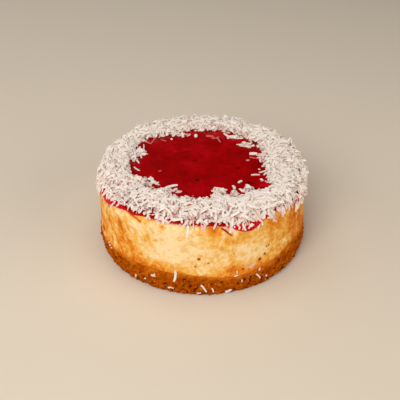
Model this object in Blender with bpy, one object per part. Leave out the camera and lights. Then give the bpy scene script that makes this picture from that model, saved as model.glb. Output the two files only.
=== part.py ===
"""Baked cheesecake: a biscuit crumb base, a baked filling, red jam and a ring of shredded coconut.

Metres, +Z up. The origin is the middle of the flat underside, and the front of the cake faces -Y.
Directions round the cake are angles in degrees from +X, so the front is at -90 and the back at 90.
"""

import math
import random

import bmesh
import bpy
from mathutils import Matrix, Vector, noise

MM = 0.001
FILLING_COLUMNS = 80
CRUMB_COLUMNS = 112
RING_COLUMNS = 60
GAP = 0.4 * MM

# Filling: the upright side, the rounded top edge and the flat top under the jam
FILLING_TOP = 58.9 * MM
SHOULDER = 6.0 * MM
SIDE_PROFILE = (
    (0.0 * MM, 78.4 * MM),
    (7.0 * MM, 79.9 * MM),
    (16.0 * MM, 79.6 * MM),
    (30.0 * MM, 78.8 * MM),
    (46.0 * MM, 78.2 * MM),
    (52.9 * MM, 77.9 * MM),
)
FILLING_RELIEF = 0.35 * MM
FILLING_RELIEF_SPACING = 17.0 * MM

# Crumb base: its height, the slow waves of its upper edge and the crags of its side
CRUMB_HEIGHT = 17.5 * MM
CRUMB_WAVES = (
    (1, 2.4 * MM, 92.0),
    (3, 2.2 * MM, 102.0),
    (5, 1.0 * MM, -89.0),
    (7, 0.8 * MM, 6.0),
)
CRAG_DEPTH = 0.8 * MM
CRAG_SPACING = 4.5 * MM
CRUMBS_AT_FOOT = 22
CRUMB_SIZE = 1.7 * MM

# Jam: a film over the top that thins over the edge, with drips down the side
JAM_THICKNESS = 1.8 * MM
JAM_EDGE_THICKNESS = 0.7 * MM
JAM_REACH = 74.6 * MM
JAM_EDGE_WANDER = 0.9 * MM
JAM_EDGE_SPACING = 9.0 * MM
JAM_THINS_BEFORE_SHOULDER = 4.0 * MM
JAM_EDGE_ROUNDING = 2.0 * MM
JAM_LEAST_SHARE = 0.35
JAM_RIPPLE = 0.12 * MM
JAM_RIPPLE_SPACING = 14.0 * MM
JAM_DRIPS = (
    (-67.0, 7.0 * MM, 9.0),
    (-55.0, 1.6 * MM, 9.0),
    (-27.0, 6.8 * MM, 14.0),
    (-154.0, 7.6 * MM, 13.0),
    (-134.0, 1.6 * MM, 12.0),
    (150.0, 2.6 * MM, 9.0),
    (105.0, 3.8 * MM, 8.0),
    (58.0, 2.8 * MM, 10.0),
    (18.0, 4.6 * MM, 9.0),
)

# Coconut: a mound round the rim, its inner edge pushed in by tongues and out by bays
RING_INNER = 52.0 * MM
RING_TONGUES = (
    (-100.0, 3.2 * MM, 34.0),
    (-126.0, 5.0 * MM, 6.0),
    (-76.0, 8.0 * MM, 7.0),
    (-35.0, -6.5 * MM, 10.0),
    (-2.0, 5.5 * MM, 22.0),
    (148.0, -6.0 * MM, 15.0),
    (-148.0, 5.0 * MM, 9.0),
)
RING_OUTER = 75.6 * MM
RING_OVERHANG = 2.0 * MM
RING_BULGES = (
    (156.0, 2.0 * MM, 26.0),
    (42.0, -3.2 * MM, 30.0),
)
RING_EDGE_WANDER = 1.4 * MM
RING_EDGE_SPACING = 8.0 * MM
MOUND_HEIGHT = 4.2 * MM
MOUND_FULLNESS = 3.0
MOUND_LIP = 1.1 * MM
MOUND_BUMP = 2.0 * MM
MOUND_BUMP_SPACING = 6.0 * MM
RING_SECTION = 5
RING_SEAT = 2 * GAP + JAM_THICKNESS + JAM_RIPPLE
SHREDS = 205
SHRED_LENGTH = (5.5 * MM, 11.5 * MM)
SHRED_WIDTH = (1.1 * MM, 2.1 * MM)
SHRED_THICKNESS = 0.7 * MM
SHRED_TILT = (-8.0, 34.0)
SHRED_HEIGHT = (-0.15 * MM, 0.25 * MM)
SHRED_ROOTED_TILT = 12.0
SHRED_SHIFT = 0.22
OUTER_SHRED_TILT = (-24.0, 12.0)
OUTER_SHRED_HEADING = (-145.0, -35.0)
SHRED_CLEARANCE = 0.45 * MM
SHRED_REACH = 82.4 * MM
SHRED_REACH_INWARD = 3.0 * MM
SHRED_TOP = 68.4 * MM
SHRED_OUTER_SHARE = 0.74
SHRED_TRIES = 12
SHRED_NUDGE = 0.1 * MM
GOLDEN_TURN = 137.508
EVEN_STEP_ROUND = 0.75488
EVEN_STEP_ACROSS = 0.56984
SEED = 5

# Stray flakes: angle, height or radius, length, width, turn from level or from radial
STRAYS_ON_CRUMB = (
    (-104.2, 13.4 * MM, 9.6 * MM, 2.0 * MM, 84.0),
    (-115.9, 12.0 * MM, 3.4 * MM, 2.2 * MM, 30.0),
    (-89.2, 7.6 * MM, 8.0 * MM, 1.3 * MM, -58.0),
    (-84.7, 6.4 * MM, 4.0 * MM, 1.2 * MM, -50.0),
    (-106.5, 6.2 * MM, 2.8 * MM, 1.4 * MM, 20.0),
    (-91.9, 3.4 * MM, 2.6 * MM, 1.8 * MM, 5.0),
    (-76.2, 3.4 * MM, 4.4 * MM, 1.9 * MM, 12.0),
    (-60.0, 10.0 * MM, 5.2 * MM, 1.3 * MM, -52.0),
    (-72.6, 11.0 * MM, 3.0 * MM, 1.3 * MM, 15.0),
    (-127.5, 5.4 * MM, 3.0 * MM, 1.2 * MM, 40.0),
    (58.0, 8.5 * MM, 6.0 * MM, 1.5 * MM, 48.0),
    (112.0, 5.5 * MM, 4.4 * MM, 1.4 * MM, -20.0),
    (171.0, 9.5 * MM, 5.5 * MM, 1.4 * MM, 66.0),
)
STRAYS_ON_FILLING = (
    (-63.3, 24.6 * MM, 3.4 * MM, 1.8 * MM, 25.0),
    (-58.6, 28.5 * MM, 2.8 * MM, 1.3 * MM, -35.0),
    (-49.6, 43.0 * MM, 4.2 * MM, 1.2 * MM, 70.0),
    (-148.5, 30.0 * MM, 2.8 * MM, 1.2 * MM, -60.0),
    (86.0, 34.0 * MM, 5.0 * MM, 1.3 * MM, 62.0),
)
STRAYS_ON_JAM = (
    (20.0, 41.0 * MM, 5.6 * MM, 2.7 * MM, 70.0),
    (8.0, 35.0 * MM, 3.0 * MM, 1.4 * MM, 40.0),
    (-23.5, 37.0 * MM, 5.6 * MM, 1.4 * MM, 66.0),
    (-43.0, 37.9 * MM, 3.6 * MM, 2.0 * MM, 20.0),
    (-54.8, 38.6 * MM, 3.0 * MM, 1.6 * MM, 80.0),
    (-163.0, 34.0 * MM, 2.6 * MM, 1.2 * MM, 10.0),
    (110.0, 43.0 * MM, 3.0 * MM, 1.2 * MM, 55.0),
    (46.7, 39.0 * MM, 6.5 * MM, 1.2 * MM, 80.0),
)
STRAY_THICKNESS = 0.9 * MM
STRAY_SUNK = 0.25 * MM

CRUMB_COLOUR = (168, 82, 16)
FILLING_COLOUR = (240, 190, 112)
JAM_COLOUR = (146, 1, 5)
COCONUT_COLOUR = (228, 210, 196)


def linear(colour):
    """An sRGB colour from 0 to 255 as the linear RGBA that a shader takes."""
    shares = [channel / 255 for channel in colour]
    return [c / 12.92 if c <= 0.04045 else ((c + 0.055) / 1.055) ** 2.4 for c in shares] + [1.0]


def make_material(name, colour, roughness):
    material = bpy.data.materials.new(name)
    material.use_nodes = True
    shader = material.node_tree.nodes["Principled BSDF"]
    shader.inputs["Base Color"].default_value = linear(colour)
    shader.inputs["Roughness"].default_value = roughness
    shader.inputs["Metallic"].default_value = 0.0
    return material


def bell(angle, middle, half_width):
    """1 at the middle angle, falling smoothly to 0 a few half widths away, the short way round."""
    away = (angle - middle + 180.0) % 360.0 - 180.0
    return math.exp(-((away / half_width) ** 2))


def smooth_step(low, high, value):
    share = min(1.0, max(0.0, (value - low) / (high - low)))
    return share * share * (3.0 - 2.0 * share)


def around(angle, radius, height):
    turn = math.radians(angle)
    return Vector((radius * math.cos(turn), radius * math.sin(turn), height))


def column_angles(columns):
    return [360.0 * column / columns for column in range(columns)]


def relief(point, spacing, depth):
    return depth * noise.noise(point / spacing)


def side_radius(height):
    """Radius of the upright side at a height, straight from one profile point to the next."""
    for (low, radius_low), (high, radius_high) in zip(SIDE_PROFILE, SIDE_PROFILE[1:]):
        if height <= high:
            share = max(0.0, (height - low) / (high - low))
            return radius_low + share * (radius_high - radius_low)
    return SIDE_PROFILE[-1][1]


SHOULDER_HEIGHT = FILLING_TOP - SHOULDER
SHOULDER_START = side_radius(SHOULDER_HEIGHT) - SHOULDER
SHOULDER_END = SHOULDER_START + SHOULDER * math.pi / 2


def over_edge(along, proud):
    """Radius and height of the point that lies `along` the surface from the middle of the top, outwards."""
    if along <= SHOULDER_START:
        return along, FILLING_TOP + proud
    if along <= SHOULDER_END:
        turn = (along - SHOULDER_START) / SHOULDER
        reach = SHOULDER + proud
        return SHOULDER_START + reach * math.sin(turn), SHOULDER_HEIGHT + reach * math.cos(turn)
    height = SHOULDER_HEIGHT - (along - SHOULDER_END)
    return side_radius(height) + proud, height


def on_filling(angle, along, proud=0.0):
    """A point on the filling's uneven surface, or that far proud of it."""
    base = around(angle, *over_edge(along, 0.0))
    uneven = relief(base, FILLING_RELIEF_SPACING, FILLING_RELIEF)
    uneven *= smooth_step(0.5 * SHOULDER_START, SHOULDER_START, along)
    return around(angle, *over_edge(along, proud + uneven))


def crumb_top(angle):
    """Height of the wavy line between the crumb base and the filling."""
    return CRUMB_HEIGHT + sum(
        height * math.sin(math.radians(times * angle + turn)) for times, height, turn in CRUMB_WAVES
    )


def jam_reach(angle):
    """How far the jam runs along the surface from the middle: the plain edge and its drips."""
    reach = JAM_REACH + sum(length * bell(angle, middle, width) for middle, length, width in JAM_DRIPS)
    return reach + relief(around(angle, JAM_REACH, 0.0), JAM_EDGE_SPACING, JAM_EDGE_WANDER)


def jam_thickness(along, reach):
    """The film thins over the shoulder and rounds off just before its edge."""
    thinning = smooth_step(SHOULDER_START - JAM_THINS_BEFORE_SHOULDER, SHOULDER_END, along)
    thickness = JAM_THICKNESS + thinning * (JAM_EDGE_THICKNESS - JAM_THICKNESS)
    rounding = math.sqrt(min(1.0, max(0.0, (reach - along) / JAM_EDGE_ROUNDING)))
    return thickness * (JAM_LEAST_SHARE + (1.0 - JAM_LEAST_SHARE) * rounding)


def ring_inner(angle):
    """The inner lip of the coconut, wandering a little between its tongues and bays."""
    inner = RING_INNER - sum(depth * bell(angle, middle, width) for middle, depth, width in RING_TONGUES)
    return inner + relief(around(angle, RING_INNER, 0.0), RING_EDGE_SPACING, RING_EDGE_WANDER)


def ring_outer(angle):
    """The outer lip hangs further over the edge at the left and right than at the front and back."""
    outer = RING_OUTER + RING_OVERHANG * abs(math.cos(math.radians(angle)))
    outer += sum(reach * bell(angle, middle, width) for middle, reach, width in RING_BULGES)
    return outer + relief(around(angle, RING_OUTER, 0.0), RING_EDGE_SPACING, RING_EDGE_WANDER)


def new_object(name, mesh, material):
    item = bpy.data.objects.new(name, mesh)
    bpy.context.scene.collection.objects.link(item)
    mesh.materials.append(material)
    return item


def mesh_of_rings(name, rings, ends_at=None):
    """A closed mesh through rings of points: a ring-shaped body, or one closed by a fan at each end."""
    form = bmesh.new()
    columns = len(rings[0])
    layers = [[form.verts.new(point) for point in ring] for ring in rings]
    pairs = list(zip(layers, layers[1:]))
    if ends_at is None:
        pairs.append((layers[-1], layers[0]))
    for lower, upper in pairs:
        for column in range(columns):
            after = (column + 1) % columns
            form.faces.new((lower[column], lower[after], upper[after], upper[column]))
    if ends_at is not None:
        for layer, height in ((layers[0], ends_at[0]), (layers[-1], ends_at[1])):
            middle = form.verts.new((0.0, 0.0, height))
            for column in range(columns):
                form.faces.new((middle, layer[column], layer[(column + 1) % columns]))
    bmesh.ops.recalc_face_normals(form, faces=form.faces)
    if form.calc_volume(signed=True) < 0:
        bmesh.ops.reverse_faces(form, faces=form.faces)
    mesh = bpy.data.meshes.new(name)
    form.to_mesh(mesh)
    form.free()
    return mesh


def rings_between(shape, shares, columns=FILLING_COLUMNS):
    """One ring of points for each share from 0 to 1 of the way along the shape."""
    return [[shape(angle, share) for angle in column_angles(columns)] for share in shares]


def even_shares(steps, first=0):
    return [step / steps for step in range(first, steps + 1)]


def strip_mesh(length, width, thickness):
    """A flat strip along X, narrower at one end."""
    form = bmesh.new()
    sections = []
    for place, narrowing in ((-0.5, 0.7), (0.5, 1.0)):
        half = 0.5 * width * narrowing
        corners = ((-half, -0.5), (half, -0.5), (half, 0.5), (-half, 0.5))
        sections.append(
            [form.verts.new((place * length, side, up * thickness)) for side, up in corners]
        )
    for first, second in zip(sections, sections[1:]):
        for corner in range(4):
            after = (corner + 1) % 4
            form.faces.new((first[corner], first[after], second[after], second[corner]))
    form.faces.new(sections[0])
    form.faces.new(sections[-1])
    bmesh.ops.recalc_face_normals(form, faces=form.faces)
    mesh = bpy.data.meshes.new("strip")
    form.to_mesh(mesh)
    form.free()
    return mesh


def crumb_mesh(size, chance):
    """A lumpy grain of biscuit from a 20-sided ball."""
    form = bmesh.new()
    bmesh.ops.create_icosphere(form, subdivisions=1, radius=size)
    for corner in form.verts:
        corner.co *= chance.uniform(0.8, 1.15)
    mesh = bpy.data.meshes.new("crumb")
    form.to_mesh(mesh)
    form.free()
    return mesh


def frame_at(place, along, outward):
    """A placing matrix whose X runs along the strip and whose Z points away from what it lies on."""
    across = outward.cross(along).normalized()
    lengthwise = across.cross(outward).normalized()
    turned = Matrix((lengthwise, across, outward.normalized())).transposed().to_4x4()
    return Matrix.Translation(place) @ turned


def placed(mesh, matrix):
    mesh.transform(matrix)
    return bpy.data.objects.new(mesh.name, mesh)


def keep_largest_body(mesh):
    """Drops loose scraps and fills sealed hollows: only the body with the most volume stays."""
    form = bmesh.new()
    form.from_mesh(mesh)
    waiting = set(form.faces)
    bodies = []
    while waiting:
        reached = [waiting.pop()]
        body = []
        while reached:
            face = reached.pop()
            body.append(face)
            for edge in face.edges:
                for neighbour in edge.link_faces:
                    if neighbour in waiting:
                        waiting.remove(neighbour)
                        reached.append(neighbour)
        bodies.append(body)
    largest = max(bodies, key=len)
    scraps = [face for body in bodies if body is not largest for face in body]
    bmesh.ops.delete(form, geom=scraps, context="FACES")
    form.to_mesh(mesh)
    form.free()


def fuse(body, pieces):
    """Joins the pieces to the body by one Boolean union and removes their own objects."""
    heap = bpy.data.collections.new(body.name + "_pieces")
    bpy.context.scene.collection.children.link(heap)
    for piece in pieces:
        heap.objects.link(piece)
    union = body.modifiers.new("fused_pieces", "BOOLEAN")
    union.operation = "UNION"
    union.operand_type = "COLLECTION"
    union.collection = heap
    union.solver = "MANIFOLD"
    bpy.context.view_layer.update()
    graph = bpy.context.evaluated_depsgraph_get()
    joined = bpy.data.meshes.new_from_object(body.evaluated_get(graph))
    body.modifiers.clear()
    body.data = joined
    for piece in pieces:
        bpy.data.objects.remove(piece)
    bpy.data.collections.remove(heap)
    keep_largest_body(joined)


def lying_strip(angle, surface, length, width, turn):
    """A stray flake lying on a surface, which is a function of angle and proud that gives a point."""
    place = surface(angle, STRAY_THICKNESS / 2 - STRAY_SUNK)
    outward = (surface(angle, 1.0 * MM) - surface(angle, 0.0)).normalized()
    level = Vector((-math.sin(math.radians(angle)), math.cos(math.radians(angle)), 0.0))
    along = Matrix.Rotation(math.radians(turn), 3, outward) @ level
    return placed(strip_mesh(length, width, STRAY_THICKNESS), frame_at(place, along, outward))


def crumb_side(angle, share, proud=0.0):
    """A point on the crumb base's craggy side, from the foot at share 0 to the wavy edge at 1."""
    height = share * crumb_top(angle)
    base = around(angle, side_radius(height), height)
    crags = relief(base, CRAG_SPACING, CRAG_DEPTH) + relief(base, 2.3 * CRAG_SPACING, CRAG_DEPTH)
    return around(angle, side_radius(height) + crags + proud, height)


def make_crumb_base(material):
    rings = rings_between(crumb_side, even_shares(6), CRUMB_COLUMNS)
    mesh = mesh_of_rings("crumb_base", rings, ends_at=(0.0, CRUMB_HEIGHT))
    base = new_object("crumb_base", mesh, material)
    chance = random.Random(SEED)
    pieces = []
    for count in range(CRUMBS_AT_FOOT):
        angle = GOLDEN_TURN * count
        size = CRUMB_SIZE * chance.uniform(0.7, 1.1)
        share = chance.uniform(size, 0.7 * CRUMB_HEIGHT) / CRUMB_HEIGHT
        lump = crumb_mesh(size, chance)
        place = crumb_side(angle, share)
        place.z = max(place.z, 1.2 * size)
        pieces.append(placed(lump, Matrix.Translation(place)))
    for angle, height, length, width, turn in STRAYS_ON_CRUMB:
        share = height / crumb_top(angle)
        pieces.append(
            lying_strip(angle, lambda at, proud: crumb_side(at, share, proud), length, width, turn)
        )
    fuse(base, pieces)
    return base


def make_filling(material):
    """The filling stands on the crumb base's wavy top, the gap above it."""

    def side(angle, share):
        foot = SHOULDER_END + SHOULDER_HEIGHT - crumb_top(angle) - GAP
        return on_filling(angle, SHOULDER_END + share * (foot - SHOULDER_END))

    def shoulder(angle, share):
        return on_filling(angle, SHOULDER_END - share * (SHOULDER_END - SHOULDER_START))

    rings = rings_between(side, reversed(even_shares(6)))
    rings += rings_between(shoulder, even_shares(4, first=1))
    mesh = mesh_of_rings("filling", rings, ends_at=(CRUMB_HEIGHT + GAP, FILLING_TOP))
    filling = new_object("filling", mesh, material)
    pieces = []
    for angle, height, length, width, turn in STRAYS_ON_FILLING:
        along = SHOULDER_END + SHOULDER_HEIGHT - height
        pieces.append(
            lying_strip(angle, lambda at, proud: on_filling(at, along, proud), length, width, turn)
        )
    fuse(filling, pieces)
    return filling


def jam_surface(angle, along):
    thickness = GAP + jam_thickness(along, jam_reach(angle))
    ripple = relief(around(angle, along, 0.0), JAM_RIPPLE_SPACING, JAM_RIPPLE)
    return on_filling(angle, along, thickness + ripple * (along < SHOULDER_START))


def make_jam(material):
    """A film whose underside keeps the gap to the filling all the way to the drips' ends."""

    def under(angle, share):
        return on_filling(angle, SHOULDER_START + share * (jam_reach(angle) - SHOULDER_START), GAP)

    def over(angle, share):
        return jam_surface(angle, SHOULDER_START + share * (jam_reach(angle) - SHOULDER_START))

    def top(angle, share):
        return jam_surface(angle, share * SHOULDER_START)

    rings = rings_between(under, even_shares(5))
    rings += rings_between(over, reversed(even_shares(4)))
    rings += rings_between(top, (0.8, 0.45))
    mesh = mesh_of_rings("jam", rings, ends_at=(FILLING_TOP + GAP, FILLING_TOP + GAP + JAM_THICKNESS))
    jam = new_object("jam", mesh, material)
    pieces = []
    for angle, radius, length, width, turn in STRAYS_ON_JAM:
        pieces.append(
            lying_strip(
                angle,
                lambda at, proud: jam_surface(at, radius) + Vector((0.0, 0.0, proud)),
                length,
                width,
                turn,
            )
        )
    fuse(jam, pieces)
    return jam


def mound_height(angle, share):
    """Height of the coconut over its seat, from its inner lip at share 0 to its outer lip at 1."""
    rounded = 1.0 - abs(2.0 * share - 1.0) ** MOUND_FULLNESS
    along = ring_inner(angle) + share * (ring_outer(angle) - ring_inner(angle))
    bumps = relief(around(angle, along, 0.0), MOUND_BUMP_SPACING, MOUND_BUMP)
    return MOUND_LIP + rounded * (MOUND_HEIGHT + bumps)


def on_mound(angle, share, proud=0.0):
    inner = ring_inner(angle)
    along = inner + share * (ring_outer(angle) - inner)
    return on_filling(angle, along, RING_SEAT + mound_height(angle, share) + proud)


def clearance(point):
    """How far a point is outside the jam, or outside where the jam would be."""
    radius = math.hypot(point.x, point.y)
    if radius <= SHOULDER_START:
        distance = point.z - FILLING_TOP
    elif point.z >= SHOULDER_HEIGHT:
        distance = math.hypot(radius - SHOULDER_START, point.z - SHOULDER_HEIGHT) - SHOULDER
    else:
        distance = radius - side_radius(point.z)
    return distance - GAP - JAM_THICKNESS


def shred(count, chance):
    """One coconut strip lying on or sticking out of the mound, lifted until it clears the jam."""
    angle = 360.0 * EVEN_STEP_ROUND * count + chance.uniform(-3.0, 3.0)
    share = (EVEN_STEP_ACROSS * count) % 1.0
    length = chance.uniform(*SHRED_LENGTH)
    width = chance.uniform(*SHRED_WIDTH)
    outer = share > SHRED_OUTER_SHARE
    heading = chance.uniform(*OUTER_SHRED_HEADING) if outer else chance.uniform(0.0, 360.0)
    tilt = chance.uniform(*OUTER_SHRED_TILT) if outer else chance.uniform(*SHRED_TILT)
    place = on_mound(angle, share, chance.uniform(*SHRED_HEIGHT))
    outward = (on_mound(angle, share, 1.0 * MM) - on_mound(angle, share)).normalized()
    level = Vector((-math.sin(math.radians(angle)), math.cos(math.radians(angle)), 0.0))
    along = Matrix.Rotation(math.radians(heading), 3, outward) @ level
    across = outward.cross(along)
    along = Matrix.Rotation(-math.radians(tilt), 3, across) @ along
    facing = Matrix.Rotation(-math.radians(tilt), 3, across) @ outward
    mesh = strip_mesh(length, width, SHRED_THICKNESS)
    if outer or tilt > SHRED_ROOTED_TILT:
        mesh.transform(frame_at(place + along * SHRED_SHIFT * length, along, facing))
    else:
        mesh.transform(frame_at(place, along, facing))
    for _ in range(SHRED_TRIES):
        lowest = min(clearance(corner.co) for corner in mesh.vertices)
        radii = [math.hypot(corner.co.x, corner.co.y) for corner in mesh.vertices]
        radial = Vector((place.x, place.y, 0.0)).normalized()
        too_far_in = ring_inner(angle) - SHRED_REACH_INWARD - min(radii)
        too_high = max(corner.co.z for corner in mesh.vertices) - SHRED_TOP
        if max(radii) > SHRED_REACH:
            mesh.transform(Matrix.Translation(radial * (SHRED_REACH - max(radii) - SHRED_NUDGE)))
        elif too_far_in > 0:
            mesh.transform(Matrix.Translation(radial * (too_far_in + SHRED_NUDGE)))
        elif too_high > 0:
            mesh.transform(Matrix.Translation((0.0, 0.0, -too_high - SHRED_NUDGE)))
        elif lowest < SHRED_CLEARANCE:
            mesh.transform(Matrix.Translation(outward * (SHRED_CLEARANCE - lowest + SHRED_NUDGE)))
        else:
            return bpy.data.objects.new("shred", mesh)
    return None


def make_coconut_ring(material):
    def over_shoulder(angle, share):
        reach = ring_outer(angle) - SHOULDER_START
        return on_filling(angle, SHOULDER_START + share * reach, RING_SEAT)

    def inner_lip(angle, _share):
        return on_filling(angle, ring_inner(angle), RING_SEAT)

    rings = rings_between(on_mound, even_shares(RING_SECTION), RING_COLUMNS)
    rings += rings_between(over_shoulder, reversed(even_shares(2)), RING_COLUMNS)
    rings += rings_between(inner_lip, (0.0,), RING_COLUMNS)
    mesh = mesh_of_rings("coconut_ring", rings)
    ring = new_object("coconut_ring", mesh, material)
    chance = random.Random(SEED + 1)
    strips = [shred(count, chance) for count in range(SHREDS)]
    fuse(ring, [strip for strip in strips if strip])
    return ring


def main():
    for item in list(bpy.data.objects):
        bpy.data.objects.remove(item)
    layers = (
        make_crumb_base(make_material("biscuit_crumb", CRUMB_COLOUR, 0.95)),
        make_filling(make_material("baked_filling", FILLING_COLOUR, 0.55)),
        make_jam(make_material("red_jam", JAM_COLOUR, 0.2)),
        make_coconut_ring(make_material("shredded_coconut", COCONUT_COLOUR, 0.7)),
    )
    for layer in layers:
        layer.data.shade_flat()


main()
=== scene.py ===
"""A baked cheesecake: crumb base, browned filling, red jam and a heap of shredded coconut round the rim."""

import itertools
import math
import random

import bpy
import numpy as np
from bpy.props import FloatProperty, FloatVectorProperty, IntProperty, PointerProperty
from mathutils import Matrix, Vector, noise


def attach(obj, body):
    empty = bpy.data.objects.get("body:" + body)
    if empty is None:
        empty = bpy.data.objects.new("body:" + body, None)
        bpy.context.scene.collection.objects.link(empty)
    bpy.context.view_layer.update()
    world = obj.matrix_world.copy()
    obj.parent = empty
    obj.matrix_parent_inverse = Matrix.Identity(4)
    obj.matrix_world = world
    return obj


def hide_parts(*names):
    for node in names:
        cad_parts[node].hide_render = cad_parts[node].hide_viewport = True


bl_info = {
    "name": "Baked Cheesecake",
    "version": (1, 0, 0),
    "blender": (4, 5, 0),
    "location": "View3D > Sidebar > Cheesecake",
    "description": "Models a baked cheesecake with red jam and shredded coconut",
    "category": "Mesh",
}

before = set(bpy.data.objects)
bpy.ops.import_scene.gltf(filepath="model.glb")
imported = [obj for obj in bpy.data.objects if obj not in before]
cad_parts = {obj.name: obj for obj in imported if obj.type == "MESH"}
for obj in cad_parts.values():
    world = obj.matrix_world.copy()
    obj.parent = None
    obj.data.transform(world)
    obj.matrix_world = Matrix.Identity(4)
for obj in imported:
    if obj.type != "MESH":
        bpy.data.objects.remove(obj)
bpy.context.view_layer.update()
MM = 0.001
BODY = "root"

# The cake's form, which the solids share

GAP = 0.4 * MM
FILLING_TOP = 58.9 * MM
SHOULDER = 6.0 * MM
SIDE_HEIGHTS = (0.0, 7.0 * MM, 16.0 * MM, 30.0 * MM, 46.0 * MM, 52.9 * MM)
SIDE_RADII = (78.4 * MM, 79.9 * MM, 79.6 * MM, 78.8 * MM, 78.2 * MM, 77.9 * MM)
FILLING_RELIEF = 0.35 * MM
FILLING_RELIEF_SPACING = 17.0 * MM
CRUMB_HEIGHT = 17.5 * MM
CRUMB_WAVES = (
    (1, 2.4 * MM, 92.0),
    (3, 2.2 * MM, 102.0),
    (5, 1.0 * MM, -89.0),
    (7, 0.8 * MM, 6.0),
)
JAM_THICKNESS = 1.8 * MM
JAM_EDGE_THICKNESS = 0.7 * MM
JAM_REACH = 74.6 * MM
JAM_EDGE_WANDER = 0.9 * MM
JAM_EDGE_SPACING = 9.0 * MM
JAM_THINS_BEFORE_SHOULDER = 4.0 * MM
JAM_EDGE_ROUNDING = 2.0 * MM
JAM_LEAST_SHARE = 0.35
JAM_RIPPLE = 0.12 * MM
JAM_RIPPLE_SPACING = 14.0 * MM
JAM_DRIPS = (
    (-67.0, 7.0 * MM, 9.0),
    (-55.0, 1.6 * MM, 9.0),
    (-27.0, 6.8 * MM, 14.0),
    (-154.0, 7.6 * MM, 13.0),
    (-134.0, 1.6 * MM, 12.0),
    (150.0, 2.6 * MM, 9.0),
    (105.0, 3.8 * MM, 8.0),
    (58.0, 2.8 * MM, 10.0),
    (18.0, 4.6 * MM, 9.0),
)
RING_INNER = 52.0 * MM
RING_TONGUES = (
    (-100.0, 3.2 * MM, 34.0),
    (-126.0, 5.0 * MM, 6.0),
    (-76.0, 8.0 * MM, 7.0),
    (-35.0, -6.5 * MM, 10.0),
    (-2.0, 5.5 * MM, 22.0),
    (148.0, -6.0 * MM, 15.0),
    (-148.0, 5.0 * MM, 9.0),
)
RING_OUTER = 75.6 * MM
RING_OVERHANG = 2.0 * MM
RING_BULGES = (
    (156.0, 2.0 * MM, 26.0),
    (42.0, -3.2 * MM, 30.0),
)
RING_EDGE_WANDER = 1.4 * MM
RING_EDGE_SPACING = 8.0 * MM

SHOULDER_HEIGHT = FILLING_TOP - SHOULDER
SHOULDER_START = SIDE_RADII[-1] - SHOULDER
SHOULDER_END = SHOULDER_START + SHOULDER * math.pi / 2
JAM_TOP = FILLING_TOP + GAP + JAM_THICKNESS


def srgb(red, green, blue):
    """A colour given as 0 to 255 on screen, in the linear values that shaders take."""
    shares = np.array((red, green, blue)) / 255
    return tuple(np.where(shares <= 0.04045, shares / 12.92, ((shares + 0.055) / 1.055) ** 2.4))


def colour_setting(name, description, red, green, blue):
    default = srgb(red, green, blue)
    return FloatVectorProperty(name=name, description=description, subtype="COLOR", default=default)


def length_setting(name, description, default):
    return FloatProperty(name=name, description=description, unit="LENGTH", default=default)


class CakeSizes(bpy.types.PropertyGroup):
    """Sizes and counts of what the finished surface adds to the cake's form."""

    crag_depth: length_setting("Crag depth", "Depth of the pits in the crumb base", 1.15 * MM)
    loose_crumbs: IntProperty(
        name="Crumbs", description="Grains of biscuit that stand out of the crumb base", default=2600
    )
    mound_height: length_setting("Mound height", "Height of the packed core under the coconut", 1.2 * MM)
    heap_limit: length_setting("Heap limit", "Height that no strand of coconut may pass", 67.6 * MM)
    shreds: IntProperty(
        name="Shreds", description="Strands of coconut laid on the rim", default=8600
    )
    shred_thickness: length_setting("Shred thickness", "Usual thickness of a strand of coconut", 0.5 * MM)
    seed: IntProperty(name="Seed", description="Start of every random draw", default=11)


class CakeColours(bpy.types.PropertyGroup):
    """Colours of the cake's layers."""

    crumb: colour_setting("Biscuit", "Crumb base", 168, 72, 0)
    # Also painted shade in the crumb base's pits
    crumb_dark_and_pit_shade: colour_setting("Biscuit pits", "Deep pits of the crumb base", 60, 18, 0)
    crumb_light: colour_setting("Biscuit grains", "Pale grains of the crumb base", 204, 124, 22)
    crumb_baked: colour_setting("Biscuit edge", "Browned upper edge of the crumb base", 198, 112, 26)
    cream: colour_setting("Cream", "Palest filling", 250, 222, 172)
    golden: colour_setting("Golden", "Lightly baked filling", 240, 183, 86)
    amber: colour_setting("Amber", "Browned filling", 226, 130, 30)
    rust: colour_setting("Rust", "Deeply browned filling", 196, 88, 18)
    # Painted shade inside the filling's air holes
    painted_hole_shade: colour_setting("Scorched", "Darkest browning", 128, 30, 4)
    jam: colour_setting("Jam", "Red jam", 161, 0, 3)
    jam_dark: colour_setting("Thick jam", "Jam where it lies thick", 118, 0, 2)
    # Also the colour of the painted highlights in the jam.
    jam_bright: colour_setting("Thin jam", "Jam where it is thin or streaked", 206, 4, 30)
    # Painted shade in the jam's air holes
    jam_pit_shade: colour_setting("Jam pits", "Air holes in the jam", 40, 0, 2)
    # The coconut's tones: the shade colour is painted shade, on buried strands and on the core; the pale
    # colour is painted light on the strands that lie on top.
    coconut: colour_setting("Coconut", "Dry coconut", 238, 226, 216)
    coconut_lit: colour_setting("Pale coconut", "Strands that lie on top", 240, 231, 222)
    coconut_painted_shade: colour_setting("Coconut shade", "Duller strands of coconut", 230, 207, 195)
    coconut_stained: colour_setting("Stained coconut", "Coconut that has drawn up jam", 212, 96, 98)
    floor: colour_setting("Floor", "Pale floor under the cake", 226, 214, 196)


# Form: angles in degrees from +X, the front at -90

def bell(angle, middle, half_width):
    away = (np.asarray(angle) - middle + 180.0) % 360.0 - 180.0
    return np.exp(-((away / half_width) ** 2))


def bells(angle, rows):
    """Sum of bells round the cake, each given as its middle, its height and its half width."""
    return sum(height * bell(angle, middle, width) for middle, height, width in rows)


def smooth_step(low, high, value):
    share = np.clip((np.asarray(value, float) - low) / (high - low), 0.0, 1.0)
    return share * share * (3.0 - 2.0 * share)


def around(angle, radius, height):
    turn = np.radians(angle)
    across, deep, up = np.broadcast_arrays(radius * np.cos(turn), radius * np.sin(turn), height)
    return np.stack([across, deep, up], axis=-1).astype(float)


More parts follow.
